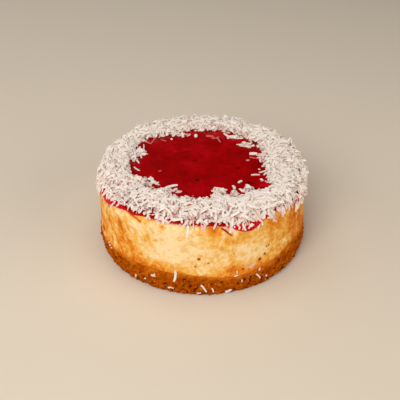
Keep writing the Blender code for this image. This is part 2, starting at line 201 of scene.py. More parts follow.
def noise_at(points, spacing, offset=0.0):
    """Smooth noise from about -1 to 1 at each point."""
    places = (np.asarray(points, float).reshape(-1, 3) / spacing + offset).tolist()
    values = np.fromiter((noise.noise(place) for place in places), float, len(places))
    return values.reshape(np.asarray(points).shape[:-1])


def noise_layers(points, layers):
    """Sum of noises, each given as its weight, its spacing and its offset."""
    return sum(weight * noise_at(points, spacing, offset) for weight, spacing, offset in layers)


def side_radius(height):
    return np.interp(height, SIDE_HEIGHTS, SIDE_RADII)


def over_edge(along, proud):
    """Radius and height of points that lie `along` the filling from the middle of its top, outwards."""
    along, proud = np.broadcast_arrays(np.asarray(along, float), np.asarray(proud, float))
    turn = np.clip((along - SHOULDER_START) / SHOULDER, 0.0, math.pi / 2)
    reach = SHOULDER + proud
    height = SHOULDER_HEIGHT - (along - SHOULDER_END)
    on_top, on_side = along <= SHOULDER_START, along > SHOULDER_END
    radius = np.where(on_top, along, SHOULDER_START + reach * np.sin(turn))
    radius = np.where(on_side, side_radius(height) + proud, radius)
    level = np.where(on_top, FILLING_TOP + proud, SHOULDER_HEIGHT + reach * np.cos(turn))
    return radius, np.where(on_side, height, level)


def on_filling(angle, along, proud=0.0):
    base = around(angle, *over_edge(along, 0.0))
    uneven = FILLING_RELIEF * noise_at(base, FILLING_RELIEF_SPACING)
    uneven = uneven * smooth_step(0.5 * SHOULDER_START, SHOULDER_START, along)
    return around(angle, *over_edge(along, proud + uneven))


def crumb_top(angle):
    waves = (h * np.sin(np.radians(times * angle + turn)) for times, h, turn in CRUMB_WAVES)
    return CRUMB_HEIGHT + sum(waves)


def wander(angle, radius, spacing, depth):
    return depth * noise_at(around(angle, radius, 0.0), spacing)


def jam_reach(angle):
    return JAM_REACH + bells(angle, JAM_DRIPS) + wander(angle, JAM_REACH, JAM_EDGE_SPACING, JAM_EDGE_WANDER)


def jam_thickness(along, reach):
    thinning = smooth_step(SHOULDER_START - JAM_THINS_BEFORE_SHOULDER, SHOULDER_END, along)
    thickness = JAM_THICKNESS + thinning * (JAM_EDGE_THICKNESS - JAM_THICKNESS)
    rounding = np.sqrt(np.clip((reach - along) / JAM_EDGE_ROUNDING, 0.0, 1.0))
    return thickness * (JAM_LEAST_SHARE + (1.0 - JAM_LEAST_SHARE) * rounding)


def ring_inner(angle):
    inner = RING_INNER - bells(angle, RING_TONGUES)
    return inner + wander(angle, RING_INNER, RING_EDGE_SPACING, RING_EDGE_WANDER)


def ring_outer(angle):
    outer = RING_OUTER + RING_OVERHANG * np.abs(np.cos(np.radians(angle)))
    outer += bells(angle, RING_BULGES)
    return outer + wander(angle, RING_OUTER, RING_EDGE_SPACING, RING_EDGE_WANDER)


# Mesh tools

MERGED = 0.002 * MM


def deselect_all():
    for item in bpy.context.selected_objects:
        item.select_set(False)


def add_primitive(add, name, **settings):
    """Adds a primitive by its operator and returns it, selected alone."""
    deselect_all()
    add(**settings)
    item = bpy.context.object
    item.name = name
    item.data.name = name
    return item


def select_alone(item):
    deselect_all()
    item.select_set(True)
    bpy.context.view_layer.objects.active = item


def points_of(item):
    flat = np.empty(len(item.data.vertices) * 3, np.float32)
    item.data.vertices.foreach_get("co", flat)
    return flat.reshape(-1, 3).astype(float)


def move_points(item, points):
    item.data.vertices.foreach_set("co", np.asarray(points, np.float32).ravel())
    item.data.update()


def paint(item, name, values):
    """Stores one value a point, for the material to read."""
    layer = item.data.attributes.new(name, "FLOAT", "POINT")
    layer.data.foreach_set("value", np.asarray(values, np.float32))


def stations_from(start, *steps):
    """Rows along a skin: each whole number from the start begins a stretch of so many steps."""
    rows = []
    for number, count in enumerate(steps):
        rows.append(start + number + np.linspace(0.0, 1.0, count, endpoint=False))
    return np.append(np.concatenate(rows), start + len(steps))


def bearing_of(points):
    return np.degrees(np.arctan2(points[:, 1], points[:, 0]))


def turned_skin(name, columns, stations, point):
    """A closed skin: a grid bent round the cake's axis, whose rows lie at the stations.

    point(angle, station) gives the places. The grid's seam and poles are merged."""
    rows = len(stations) - 1
    item = add_primitive(
        bpy.ops.mesh.primitive_grid_add, name, x_subdivisions=columns, y_subdivisions=rows, size=2.0
    )
    flat = points_of(item)
    angle = (flat[:, 0] + 1.0) * 180.0
    row = np.rint((flat[:, 1] + 1.0) * rows / 2).astype(int)
    move_points(item, point(angle, stations[row]))
    bpy.ops.object.mode_set(mode="EDIT")
    bpy.ops.mesh.select_all(action="SELECT")
    bpy.ops.mesh.remove_doubles(threshold=MERGED)
    bpy.ops.mesh.normals_make_consistent(inside=False)
    bpy.ops.object.mode_set(mode="OBJECT")
    bpy.ops.object.shade_smooth()
    return item


def finish_piece(item, material, nodes=()):
    """Gives the piece its material and its place in the frame."""
    item.data.materials.clear()
    item.data.materials.append(material)
    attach(item, BODY)
    if nodes:
        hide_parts(*nodes)


# Strips and grains: each kind is modelled once, and its copies are joined in one mesh

# A strand's top is this share narrower than its underside
CROWN = 0.22
STRIP_ENDS = ((0.7, 0.5), (0.95, 0.85), (0.6, 0.9))
SHARP_ANGLE = 50.0


def strip_form(name, segments, end_width, tip_width):
    """One strand along X, a unit long, wide and thick, with cut ends."""
    item = add_primitive(bpy.ops.mesh.primitive_cube_add, name, size=1.0)
    bpy.ops.object.mode_set(mode="EDIT")
    for cut in range(1, segments):
        bpy.ops.mesh.select_all(action="SELECT")
        bpy.ops.mesh.bisect(plane_co=(cut / segments - 0.5, 0, 0), plane_no=(1, 0, 0))
    bpy.ops.object.mode_set(mode="OBJECT")
    points = points_of(item)
    width = np.interp(points[:, 0] + 0.5, (0.0, 0.2, 0.75, 1.0), (end_width, 1.0, 0.95, tip_width))
    points[:, 1] *= width
    points[:, 2] *= 0.5 + 0.5 * width
    points[:, 1] *= 1.0 - CROWN * (points[:, 2] > 0)
    move_points(item, points)
    return taken_form(item)


def grain_form(name, seed):
    """A lumpy grain about one unit in radius."""
    item = add_primitive(bpy.ops.mesh.primitive_ico_sphere_add, name, subdivisions=1, radius=1.0)
    points = points_of(item)
    draw = random.Random(seed)
    stretch = np.array([draw.uniform(0.7, 1.2) for _ in range(3)])
    lumps = np.array([draw.uniform(0.75, 1.2) for _ in range(len(points))])
    move_points(item, points * stretch * lumps[:, None])
    return taken_form(item)


def taken_form(item):
    """The points and triangles of a finished pattern piece, whose own object is then removed."""
    select_alone(item)
    bpy.ops.object.mode_set(mode="EDIT")
    bpy.ops.mesh.select_all(action="SELECT")
    bpy.ops.mesh.normals_make_consistent(inside=False)
    bpy.ops.mesh.quads_convert_to_tris()
    bpy.ops.object.mode_set(mode="OBJECT")
    points = points_of(item)
    faces = np.array([polygon.vertices[:] for polygon in item.data.polygons])
    bpy.data.objects.remove(item)
    return points, faces


def joined_copies(name, groups, smooth):
    """One mesh from groups of (placed points (copies, corners, 3), faces, values a copy by name)."""
    all_points, all_faces, painted, first = [], [], {}, 0
    for points, faces, values in groups:
        copies, corners = points.shape[:2]
        all_points.append(points.reshape(-1, 3))
        steps = first + corners * np.arange(copies)
        all_faces.append((faces[None] + steps[:, None, None]).reshape(-1, 3))
        for key, value in values.items():
            painted.setdefault(key, []).append(np.repeat(value, corners))
        first += copies * corners
    mesh = bpy.data.meshes.new(name)
    points = np.concatenate(all_points)
    faces = np.concatenate(all_faces)
    mesh.vertices.add(len(points))
    mesh.vertices.foreach_set("co", points.astype(np.float32).ravel())
    mesh.loops.add(faces.size)
    mesh.loops.foreach_set("vertex_index", faces.astype(np.int32).ravel())
    mesh.polygons.add(len(faces))
    mesh.polygons.foreach_set("loop_start", 3 * np.arange(len(faces), dtype=np.int32))
    mesh.update(calc_edges=True)
    mesh.validate()
    item = bpy.data.objects.new(name, mesh)
    bpy.context.scene.collection.objects.link(item)
    for key, values in painted.items():
        paint(item, key, np.concatenate(values))
    if smooth:
        mesh.shade_smooth()
        mesh.set_sharp_from_angle(angle=math.radians(SHARP_ANGLE))
    return item


# Shader parts

COARSE_SHARE = 0.55
FINE_SHARE = 0.45


def node_of(tree, kind, **settings):
    made = tree.nodes.new(kind)
    for key, value in settings.items():
        setattr(made, key, value)
    return made


def new_group(name, output, **inputs):
    """A node group with one output: its tree and the nodes of its inputs and its output."""
    tree = bpy.data.node_groups.new(name, "ShaderNodeTree")
    for key, kind in inputs.items():
        tree.interface.new_socket(name=key, in_out="INPUT", socket_type=kind)
    tree.interface.new_socket(name=output[0], in_out="OUTPUT", socket_type=output[1])
    return tree, node_of(tree, "NodeGroupInput"), node_of(tree, "NodeGroupOutput")


def grain_group():
    """Noise at two sizes as one value, from a place on the piece."""
    number = "NodeSocketFloat"
    tree, start, end = new_group(
        "Food grain", ("Value", number), Place="NodeSocketVector", Coarse=number, Fine=number
    )
    coarse = node_of(tree, "ShaderNodeTexNoise")
    coarse.inputs["Detail"].default_value = 3.0
    fine = node_of(tree, "ShaderNodeTexNoise")
    fine.inputs["Detail"].default_value = 4.0
    fine.inputs["Roughness"].default_value = 0.6
    share = node_of(tree, "ShaderNodeMath", operation="MULTIPLY")
    share.inputs[1].default_value = COARSE_SHARE
    blend = node_of(tree, "ShaderNodeMath", operation="MULTIPLY_ADD")
    blend.inputs[1].default_value = FINE_SHARE
    for source, target in (
        (start.outputs["Place"], coarse.inputs["Vector"]),
        (start.outputs["Coarse"], coarse.inputs["Scale"]),
        (start.outputs["Place"], fine.inputs["Vector"]),
        (start.outputs["Fine"], fine.inputs["Scale"]),
        (coarse.outputs["Fac"], share.inputs[0]),
        (fine.outputs["Fac"], blend.inputs[0]),
        (share.outputs[0], blend.inputs[2]),
        (blend.outputs[0], end.inputs["Value"]),
    ):
        tree.links.new(source, target)
    return tree


def tone_group():
    """Three colours over a mask from 0 to 1: low, middle at a half, high."""
    colour = "NodeSocketColor"
    tree, start, end = new_group(
        "Three tones", ("Colour", colour), Mask="NodeSocketFloat", Low=colour, Middle=colour, High=colour
    )
    lower = node_of(tree, "ShaderNodeMapRange")
    lower.inputs["From Max"].default_value = 0.5
    upper = node_of(tree, "ShaderNodeMapRange")
    upper.inputs["From Min"].default_value = 0.5
    first = node_of(tree, "ShaderNodeMix", data_type="RGBA")
    second = node_of(tree, "ShaderNodeMix", data_type="RGBA")
    for source, target in (
        (start.outputs["Mask"], lower.inputs["Value"]),
        (start.outputs["Mask"], upper.inputs["Value"]),
        (lower.outputs["Result"], first.inputs["Factor"]),
        (start.outputs["Low"], first.inputs["A"]),
        (start.outputs["Middle"], first.inputs["B"]),
        (upper.outputs["Result"], second.inputs["Factor"]),
        (first.outputs["Result"], second.inputs["A"]),
        (start.outputs["High"], second.inputs["B"]),
        (second.outputs["Result"], end.inputs["Colour"]),
    ):
        tree.links.new(source, target)
    return tree


def shared_group(name, build):
    """A node group that is built once and then placed in each material."""
    return bpy.data.node_groups.get(name) or build()


class Finish:
    """A material being built: its Principled shader and short ways to wire into it."""

    def __init__(self, name, roughness, **constants):
        self.material = bpy.data.materials.new(name)
        self.material.use_nodes = True
        self.tree = self.material.node_tree
        self.shader = self.tree.nodes["Principled BSDF"]
        self.shader.inputs["Roughness"].default_value = roughness
        for key, value in constants.items():
            self.shader.inputs[key.replace("_", " ")].default_value = value
        self.place = self.add("ShaderNodeTexCoord").outputs["Object"]

    def add(self, kind, **settings):
        return node_of(self.tree, kind, **settings)

    def fill(self, socket, value):
        """Wires another node's output into the socket, or sets the plain number or colour on it."""
        if isinstance(value, bpy.types.NodeSocket):
            self.tree.links.new(value, socket)
        else:
            socket.default_value = (*value, 1.0) if socket.type == "RGBA" else value

    def painted(self, name):
        return self.add("ShaderNodeAttribute", attribute_name=name).outputs["Fac"]

    def grain(self, coarse, fine):
        made = self.add("ShaderNodeGroup", node_tree=shared_group("Food grain", grain_group))
        for key, value in (("Place", self.place), ("Coarse", coarse), ("Fine", fine)):
            self.fill(made.inputs[key], value)
        return made.outputs["Value"]

    def tones(self, mask, low, middle, high):
        made = self.add("ShaderNodeGroup", node_tree=shared_group("Three tones", tone_group))
        for key, value in (("Mask", mask), ("Low", low), ("Middle", middle), ("High", high)):
            self.fill(made.inputs[key], value)
        return made.outputs["Colour"]

    def math(self, operation, first, second, clamp=False):
        made = self.add("ShaderNodeMath", operation=operation, use_clamp=clamp)
        for number, value in enumerate((first, second)):
            self.fill(made.inputs[number], value)
        return made.outputs[0]

    def ranged(self, value, low, high):
        made = self.add("ShaderNodeMapRange", interpolation_type="SMOOTHSTEP")
        for key, filling in (("Value", value), ("From Min", low), ("From Max", high)):
            self.fill(made.inputs[key], filling)
        return made.outputs["Result"]

    def mixed(self, mask, first, second):
        made = self.add("ShaderNodeMix", data_type="RGBA")
        for key, value in (("Factor", mask), ("A", first), ("B", second)):
            self.fill(made.inputs[key], value)
        return made.outputs["Result"]

    def done(self, colour, height=None, depth=0.0):
        """The finished material, with its colour and the relief that the height gives it."""
        self.fill(self.shader.inputs["Base Color"], colour)
        if height is not None:
            bump = self.add("ShaderNodeBump")
            bump.inputs["Distance"].default_value = depth
            self.fill(bump.inputs["Height"], height)
            self.fill(self.shader.inputs["Normal"], bump.outputs["Normal"])
        return self.material


def coconut_material(colours):
    finish = Finish("Shredded coconut", 0.75, Specular_IOR_Level=0.15)
    grain = finish.grain(420.0, 1500.0)
    mask = finish.math("ADD", finish.painted("tone_and_shade"), finish.math("MULTIPLY", grain, 0.2))
    # The tint mask carries painted shade on buried strands and random tone; the grain adds random tone.
    pale = finish.tones(mask, colours.coconut_painted_shade, colours.coconut, colours.coconut_lit)
    stained = finish.tones(finish.painted("stain"), pale, colours.coconut_stained, colours.jam)
    return finish.done(stained, grain, 0.03 * MM)


def crumb_material(colours):
    finish = Finish("Biscuit crumb", 1.0, Specular_IOR_Level=0.02)
    grain = finish.grain(650.0, 2300.0)
    shade = finish.math("ADD", finish.painted("shade"), finish.math("MULTIPLY", grain, 0.5))
    mask = finish.math("SUBTRACT", shade, 0.25, clamp=True)
    crumb = finish.tones(mask, colours.crumb_dark_and_pit_shade, colours.crumb, colours.crumb_light)
    baked = finish.tones(mask, colours.rust, colours.crumb_baked, colours.amber)
    return finish.done(finish.mixed(finish.painted("baked"), crumb, baked), grain, 0.35 * MM)


def filling_material(colours):
    finish = Finish(
        "Baked filling", 0.6, Specular_IOR_Level=0.05,
        Subsurface_Weight=0.2, Subsurface_Scale=1.0 * MM, Subsurface_Radius=(1.0, 0.6, 0.3),
    )
    grain = finish.grain(260.0, 1300.0)
    uneven = finish.math("MULTIPLY", finish.math("SUBTRACT", grain, 0.5), 1.1)
    # The browning also carries painted light: the paler patch at -106 degrees in part, the highlight below
    # the crease and the shadow along it.
    mask = finish.math("ADD", finish.painted("browning"), uneven)
    pale = finish.tones(mask, colours.cream, colours.golden, colours.amber)
    browned = finish.mixed(finish.ranged(mask, 0.95, 1.6), pale, colours.rust)
    # Painted shade in the air holes
    painted_hole_shade = finish.mixed(finish.painted("hole_shade"), browned, colours.painted_hole_shade)
    stained = finish.mixed(finish.painted("stain"), painted_hole_shade, colours.jam_bright)
    return finish.done(stained, grain, 0.12 * MM)


def jam_material(colours):
    finish = Finish("Red jam", 0.2, Specular_IOR_Level=0.1)
    grain = finish.grain(75.0, 420.0)
    mask = finish.math("ADD", finish.painted("streak_and_highlight"), finish.math("SUBTRACT", grain, 0.5))
    colour = finish.tones(mask, colours.jam_dark, colours.jam, colours.jam_bright)
    pitted = finish.mixed(finish.painted("pits"), colour, colours.jam_pit_shade)
    return finish.done(pitted, grain, 0.08 * MM)


def floor_material(colours):
    finish = Finish("Pale floor", 0.7, Specular_IOR_Level=0.2)
    shade = tuple(FLOOR_SHADE * channel for channel in colours.floor)
    return finish.done(finish.tones(finish.grain(8.0, 60.0), shade, colours.floor, colours.floor))


# Crumb base

CRUMB_COLUMNS = 880
CRUMB_STEPS = (5, 33, 4)
UPPER_SMOOTH = 0.55
# Layers of noise: weight, spacing and offset
CRAGS = ((0.55, 3.1 * MM, 0.0), (0.35, 1.5 * MM, 7.0), (0.25, 0.8 * MM, 13.0))
CRUMB_TONES = ((0.22, 6.0 * MM, 19.0), (0.18, 1.3 * MM, 23.0))
RAGGED_EDGE = ((0.22, 5.0 * MM, 37.0), (0.16, 1.8 * MM, 39.0))
PIT_SPACING = 3.0 * MM
PIT_THRESHOLD = 0.22
PIT_DEPTH = 3.2
BASE_BULGE = 0.8 * MM
BASE_BULGE_SPACING = 10.0 * MM
FOOT_INSET = 0.6 * MM
GRAIN_KINDS = 6
# Radii of grains, in millimetres
GRAIN_SIZES = (0.28, 0.62)
GRAIN_LEAST_HEIGHT = 0.02 * MM
BIG_CRUMBS = 170
BIG_CRUMB_SIZES = (0.8, 1.4)
BIG_CRUMB_REACH = 9.0 * MM
BIG_CRUMB_SUNK = 0.5 * MM


def crag_noise(points):
    """Lumps and pits of packed biscuit crumbs, as one value about -1 to 1."""
    pits = np.clip(noise_at(points, PIT_SPACING, 31.0) - PIT_THRESHOLD, 0.0, 1.0)
    return noise_layers(points, CRAGS) - PIT_DEPTH * pits


def crumb_side(angle, height, sizes, proud=0.0):
    """Places on the crumb base's side: rough at the foot, smoother where it meets the filling."""
    base = around(angle, side_radius(height), height)
    level = height / crumb_top(angle)
    rough = 1.0 - UPPER_SMOOTH * smooth_step(0.35, 0.9, level)
    foot = -FOOT_INSET * (1.0 - smooth_step(0.0, 0.12, level))
    bulge = BASE_BULGE * noise_at(base, BASE_BULGE_SPACING, 3.0)
    crags = sizes.crag_depth * crag_noise(base) * rough
    return around(angle, side_radius(height) + bulge + crags + foot + proud, height)


def make_crumb_base(sizes, colours):
    """A skin from the middle of the underside over the foot, at row 0, and the upper edge, at row 1."""

    def point(angle, station):
        side = crumb_side(angle, np.clip(station, 0.0, 1.0) * crumb_top(angle), sizes)
        shrink = np.where(station < 0.0, 1.0 + station, np.where(station > 1.0, 2.0 - station, 1.0))
        side[:, :2] *= shrink[:, None]
        inward = np.where(station > 1.0, 1.0 - shrink, 0.0)
        side[:, 2] += inward * (CRUMB_HEIGHT - side[:, 2])
        return side

    item = turned_skin("biscuit_base", CRUMB_COLUMNS, stations_from(-1.0, *CRUMB_STEPS), point)
    points = points_of(item)
    angle = bearing_of(points)
    base = around(angle, side_radius(points[:, 2]), points[:, 2])
    level = points[:, 2] / crumb_top(angle)
    # The shade value follows the crags: painted shade in the pits, lighter on the lumps, with random tone and
    # darker towards the foot.
    crags = np.clip(crag_noise(base), -1.6, 0.6)
    shade = 0.56 + 0.46 * crags * (1.0 - 0.5 * smooth_step(0.5, 0.95, level))
    shade += noise_layers(base, CRUMB_TONES) - 0.16 * (1.0 - smooth_step(0.0, 0.3, level))
    paint(item, "shade", shade)
    paint(item, "baked", smooth_step(0.72, 1.12, level + noise_layers(base, RAGGED_EDGE)))
    finish_piece(item, crumb_material(colours), ("crumb_base",))


def pressed_grains(form, draw, angle, size, height, sizes, proud, tone):
    """Copies of a grain pressed into the side. The tone is its middle, spread, lowest and highest."""
    points, faces = form
    places = crumb_side(angle, height, sizes, proud)
    placed = turned_copies(points, draw, len(size)) * size[:, None, None] + places[:, None, :]
    placed[:, :, 2] = np.maximum(placed[:, :, 2], GRAIN_LEAST_HEIGHT)
    shade = np.clip(draw.normal(*tone[:2], len(size)), *tone[2:])
    return placed, faces, {"shade": shade, "baked": np.zeros(len(size))}


def make_loose_crumbs(sizes):
    """Grains of biscuit pressed into the side, most of them near the foot."""
    draw = np.random.default_rng(sizes.seed + 3)
    forms = [grain_form("grain", seed) for seed in range(GRAIN_KINDS)]
    groups = []
    for form in forms:
        count = sizes.loose_crumbs // len(forms)
        angle = draw.uniform(0.0, 360.0, count)
        size = draw.uniform(*GRAIN_SIZES, count) * MM * (1.0 + 1.2 * draw.random(count) ** 5)
        height = np.maximum(draw.random(count) ** 1.35 * 0.86 * crumb_top(angle), size)
        groups.append(pressed_grains(form, draw, angle, size, height, sizes, 0.0, (0.52, 0.16, 0.1, 1.0)))
    lump = grain_form("lump", 40)
    angle = draw.uniform(0.0, 360.0, BIG_CRUMBS)
    size = draw.uniform(*BIG_CRUMB_SIZES, BIG_CRUMBS) * MM
    height = size + draw.random(BIG_CRUMBS) ** 2 * BIG_CRUMB_REACH
    tone = (0.5, 0.14, 0.15, 0.9)
    groups.append(pressed_grains(lump, draw, angle, size, height, sizes, -BIG_CRUMB_SUNK, tone))
    item = joined_copies("biscuit_grains", groups, smooth=False)
    finish_piece(item, bpy.data.materials["Biscuit crumb"])


def turned_copies(points, draw, count):
    """The form turned every way at random, once a copy."""
    turns = draw.normal(size=(count, 4))
    turns /= np.linalg.norm(turns, axis=1)[:, None]
    w, x, y, z = turns.T
    rows = np.stack([
        1 - 2 * (y * y + z * z), 2 * (x * y - z * w), 2 * (x * z + y * w),
        2 * (x * y + z * w), 1 - 2 * (x * x + z * z), 2 * (y * z - x * w),
        2 * (x * z - y * w), 2 * (y * z + x * w), 1 - 2 * (x * x + y * y),
    ], axis=1).reshape(count, 3, 3)
    return np.einsum("cij,pj->cpi", rows, points)


# Filling

FILLING_COLUMNS = 760
FILLING_STEPS = (3, 75, 14, 8)
FOOT_GAP = 0.05 * MM
FILLING_RIPPLE = 0.12 * MM
FILLING_RIPPLE_SPACING = 4.0 * MM
RIPPLE_STARTS = (60.0 * MM, 70.0 * MM)
# Layers of noise in the browning: weight, spacing and offset
STREAKS = ((0.62, 5.4 * MM, 77.0), (0.40, 2.4 * MM, 79.0))
CLOUDS = ((0.36, 15.0 * MM, 20.0), (0.34, 6.5 * MM, 21.0))
FLECKS = ((0.40, 2.9 * MM, 41.0), (0.42, 1.3 * MM, 43.0))
FOOT_BAND = 2.6 * MM
FOOT_BAND_LEAST = 0.8 * MM
FOOT_BAND_WANDER = ((0.9, 8.0 * MM, 8.0), (0.6, 2.6 * MM, 9.0))
PULL = 2.4 * MM
PULL_SPACING = 7.0 * MM
STREAKS_SQUASHED = (1.0, 1.0, 0.45)
STREAKS_LEAN = (0.22, -0.22, 0.0)
# An air hole's depth as a share of its radius, and where the painted shade inside it ends
HOLE_DEPTH = 0.9
HOLE_RIM = (0.75, 1.45)
JAM_STAIN_WIDTH = 1.2 * MM

# Broad patches, browned or, where negative, paler: angle, height, half width in degrees, half height,
# strength. The heights and radii of marks on the filling are in millimetres.
BROWNING_AND_LIGHT_PATCHES = (
    (-147.0, 36.0, 13.0, 26.0, 0.28),
    (-133.0, 30.0, 7.0, 12.0, 0.30),
    (-170.0, 38.0, 12.0, 26.0, 0.34),
    (-122.0, 22.0, 9.0, 5.0, 0.30),
    (-84.0, 57.0, 5.0, 5.0, 0.75),
    (-74.0, 47.0, 9.0, 5.0, 0.40),
    (-73.0, 21.5, 5.0, 4.5, 0.55),
    (-62.0, 18.0, 9.0, 4.0, 0.40),
    (-46.0, 52.0, 12.0, 9.0, 0.50),
    (-38.0, 40.0, 13.0, 16.0, 0.38),
    (-18.0, 38.0, 14.0, 26.0, 0.55),
    (-90.0, 45.0, 6.0, 5.0, 0.16),
    (-110.0, 22.0, 9.0, 4.0, 0.22),
    (20.0, 44.0, 16.0, 22.0, 0.42),
    (62.0, 36.0, 12.0, 24.0, 0.30),
    (96.0, 30.0, 16.0, 18.0, 0.36),
    (138.0, 44.0, 14.0, 20.0, 0.40),
    # Partly paler filling, partly a painted pool of light where the key light falls brightest
    (-106.0, 38.0, 13.0, 18.0, -0.34),
    (-122.0, 50.0, 7.0, 6.0, -0.24),
    # A painted highlight below the crease
    (-126.5, 51.6, 3.6, 3.2, -0.50),
    (-146.0, 55.0, 5.0, 4.0, -0.20),
    (-138.0, 52.0, 9.0, 4.2, -0.44),
    (-64.0, 38.0, 9.0, 10.0, -0.12),
)
# Small browned spots: angle, height, radius, strength
BROWN_SPOTS = (
    (-110.7, 56.0, 1.6, 0.9),
    (-118.6, 45.4, 2.2, 0.55),
    (-120.4, 41.0, 1.2, 0.45),
    (-115.5, 50.5, 1.5, 0.4),
    (-114.6, 44.0, 1.6, 0.45),
    (-116.4, 39.0, 1.8, 0.4),
    (-97.0, 50.5, 1.0, 0.5),
    (-159.5, 22.0, 2.6, 1.5),
    (-138.5, 46.0, 1.8, 0.5),
)
# Air holes: angle, height, radius
AIR_HOLES = (
    (-91.8, 33.0, 0.95),
    (-93.5, 26.6, 0.6),
    (-87.1, 29.5, 0.6),
    (-88.6, 29.9, 0.35),
    (-58.9, 24.2, 1.15),
    (-55.9, 27.3, 0.8),
    (-54.8, 33.0, 0.6),
    (-53.2, 33.4, 0.7),
    (-68.8, 20.4, 0.8),
    (-68.7, 23.5, 0.5),
    (-150.0, 50.3, 1.1),
    (-160.0, 21.2, 1.2),
    (-73.8, 35.5, 0.5),
    (24.0, 40.0, 0.9),
    (71.0, 28.0, 1.0),
    (118.0, 46.0, 0.8),
    (152.0, 33.0, 1.0),
)
# A shallow crease under the jam at the left: angle and unrolled height along its length. It is dented, and
# painted dark along its line as a painted shadow.
CREASE = ((-133.8, 59.3), (-130.8, 57.6), (-126.8, 56.5), (-123.8, 55.2))
CREASE_WIDTH = 0.9 * MM
CREASE_DEPTH = 0.7 * MM


def arc_distance(angle, height, middle, level):
    """Distance over the side between points and a place on it."""
    away = (np.asarray(angle) - middle + 180.0) % 360.0 - 180.0
    return np.hypot(np.radians(away) * SIDE_RADII[-1], height - level)


def unrolled_height(points):
    """Height on the side, carried on along the surface over the rounded edge."""
    out = np.hypot(points[:, 0], points[:, 1]) - SHOULDER_START
    turn = np.arctan2(np.maximum(out, 0.0), np.maximum(points[:, 2] - SHOULDER_HEIGHT, 0.0))
    over = SHOULDER_HEIGHT + SHOULDER * (math.pi / 2 - turn)
    return np.where(points[:, 2] > SHOULDER_HEIGHT, over, points[:, 2])


def crease_distance(angle, height):
    """Distance over the side to the crease's line."""
    flat = np.stack([np.radians(angle) * SIDE_RADII[-1], height], axis=-1)
    corners = np.array([(math.radians(a) * SIDE_RADII[-1], z * MM) for a, z in CREASE])
    nearest = np.full(len(flat), np.inf)
    for start, end in zip(corners, corners[1:]):
        run = end - start
        share = np.clip(((flat - start) @ run) / (run @ run), 0.0, 1.0)
        nearest = np.minimum(nearest, np.linalg.norm(flat - start - share[:, None] * run, axis=1))
    return nearest


def filling_dents(angle, height):
    """Depth of the air holes and the painted shade inside them."""
    deep = np.zeros(len(angle))
    dark = np.zeros(len(angle))
    for middle, level, radius in AIR_HOLES:
        away = arc_distance(angle, height, middle, level * MM) / (radius * MM)
        deep += HOLE_DEPTH * radius * MM * np.exp(-1.2 * away**2)
        dark = np.maximum(dark, 1.0 - smooth_step(*HOLE_RIM, away))
    return deep, dark


def mottle(points, angle):
    """Uneven browning of the filling: calm in the middle of the front, streaked at the sides and back."""
    calm = np.maximum(bell(angle, -100.0, 30.0), 0.8 * bell(angle, -68.0, 22.0))
    pulled = np.stack([noise_at(points, PULL_SPACING, shift) for shift in (3.0, 51.0, 97.0)], axis=-1)
    points = points + PULL * pulled
    leaning = points * STREAKS_SQUASHED + points[:, 2:] * STREAKS_LEAN
    blotches = noise_layers(points, CLOUDS) + noise_layers(points, FLECKS)
    lively = 1.0 - calm
    streaks = 0.8 * lively * noise_layers(leaning, STREAKS)
    return 0.30 + 0.10 * lively + (1.0 - 0.32 * calm) * blotches + streaks


def make_filling(colours):
    """A skin from the middle of the underside over the foot, at row 0, the rounded edge and the top."""

    def point(angle, station):
        low = crumb_top(angle) + FOOT_GAP
        height = low + np.clip(station, 0.0, 1.0) * (SHOULDER_HEIGHT - low)
        along = SHOULDER_END + SHOULDER_HEIGHT - height
        along = along - np.clip(station - 1.0, 0.0, 1.0) * (SHOULDER_END - SHOULDER_START)
        along = along * (1.0 - np.clip(station - 2.0, 0.0, 1.0))
        level = SHOULDER_END + SHOULDER_HEIGHT - along
        crease = CREASE_DEPTH * np.exp(-((crease_distance(angle, level) / CREASE_WIDTH) ** 2))
        shown = on_filling(angle, along, -filling_dents(angle, level)[0] - crease)
        ripple = FILLING_RIPPLE * noise_at(shown, FILLING_RIPPLE_SPACING, 5.0)
        ripple = ripple * smooth_step(*RIPPLE_STARTS, along)
        shown += around(angle, ripple, 0.0)
        under = np.clip(station, -1.0, 0.0)
        shown[:, :2] *= (1.0 + under)[:, None]
        shown[:, 2] += -under * (CRUMB_HEIGHT - shown[:, 2])
        return shown

    item = turned_skin("baked_filling", FILLING_COLUMNS, stations_from(-1.0, *FILLING_STEPS), point)
    points = points_of(item)
    angle = bearing_of(points)
    height = unrolled_height(points)
    browning = mottle(points, angle)
    for middle, level, wide, tall, strength in BROWNING_AND_LIGHT_PATCHES:
        away = (height - level * MM) / (tall * MM)
        browning += strength * bell(angle, middle, wide) * np.exp(-(away**2))
    for middle, level, radius, strength in BROWN_SPOTS:
        away = arc_distance(angle, height, middle, level * MM) / (radius * MM)
        browning += strength * np.exp(-(away**2))
    above = np.maximum(height - crumb_top(angle), 0.0)
    band = np.maximum(FOOT_BAND * (1.0 + noise_layers(points, FOOT_BAND_WANDER)), FOOT_BAND_LEAST)
    browning += (1.05 - 0.2 * bell(angle, -102.0, 22.0)) * np.exp(-above / band)
    # Painted shadow along the crease
    browning += 1.3 * np.exp(-((crease_distance(angle, height) / CREASE_WIDTH) ** 2))
    below_jam = SHOULDER_END + SHOULDER_HEIGHT - height - jam_reach(angle)
    patchy = noise_at(points, 6.0 * MM, 55.0) > 0.05
    # The browning also carries painted light: the paler patch at -106 degrees in part, the painted highlight
    # below the crease and the painted shadow along it.
    paint(item, "browning", browning)
    # The air holes are painted dark inside: painted shade.
    paint(item, "hole_shade", filling_dents(angle, height)[1])
    paint(item, "stain", 0.4 * np.exp(-((below_jam / JAM_STAIN_WIDTH) ** 2)) * patchy)
    finish_piece(item, filling_material(colours), ("filling",))


# Jam

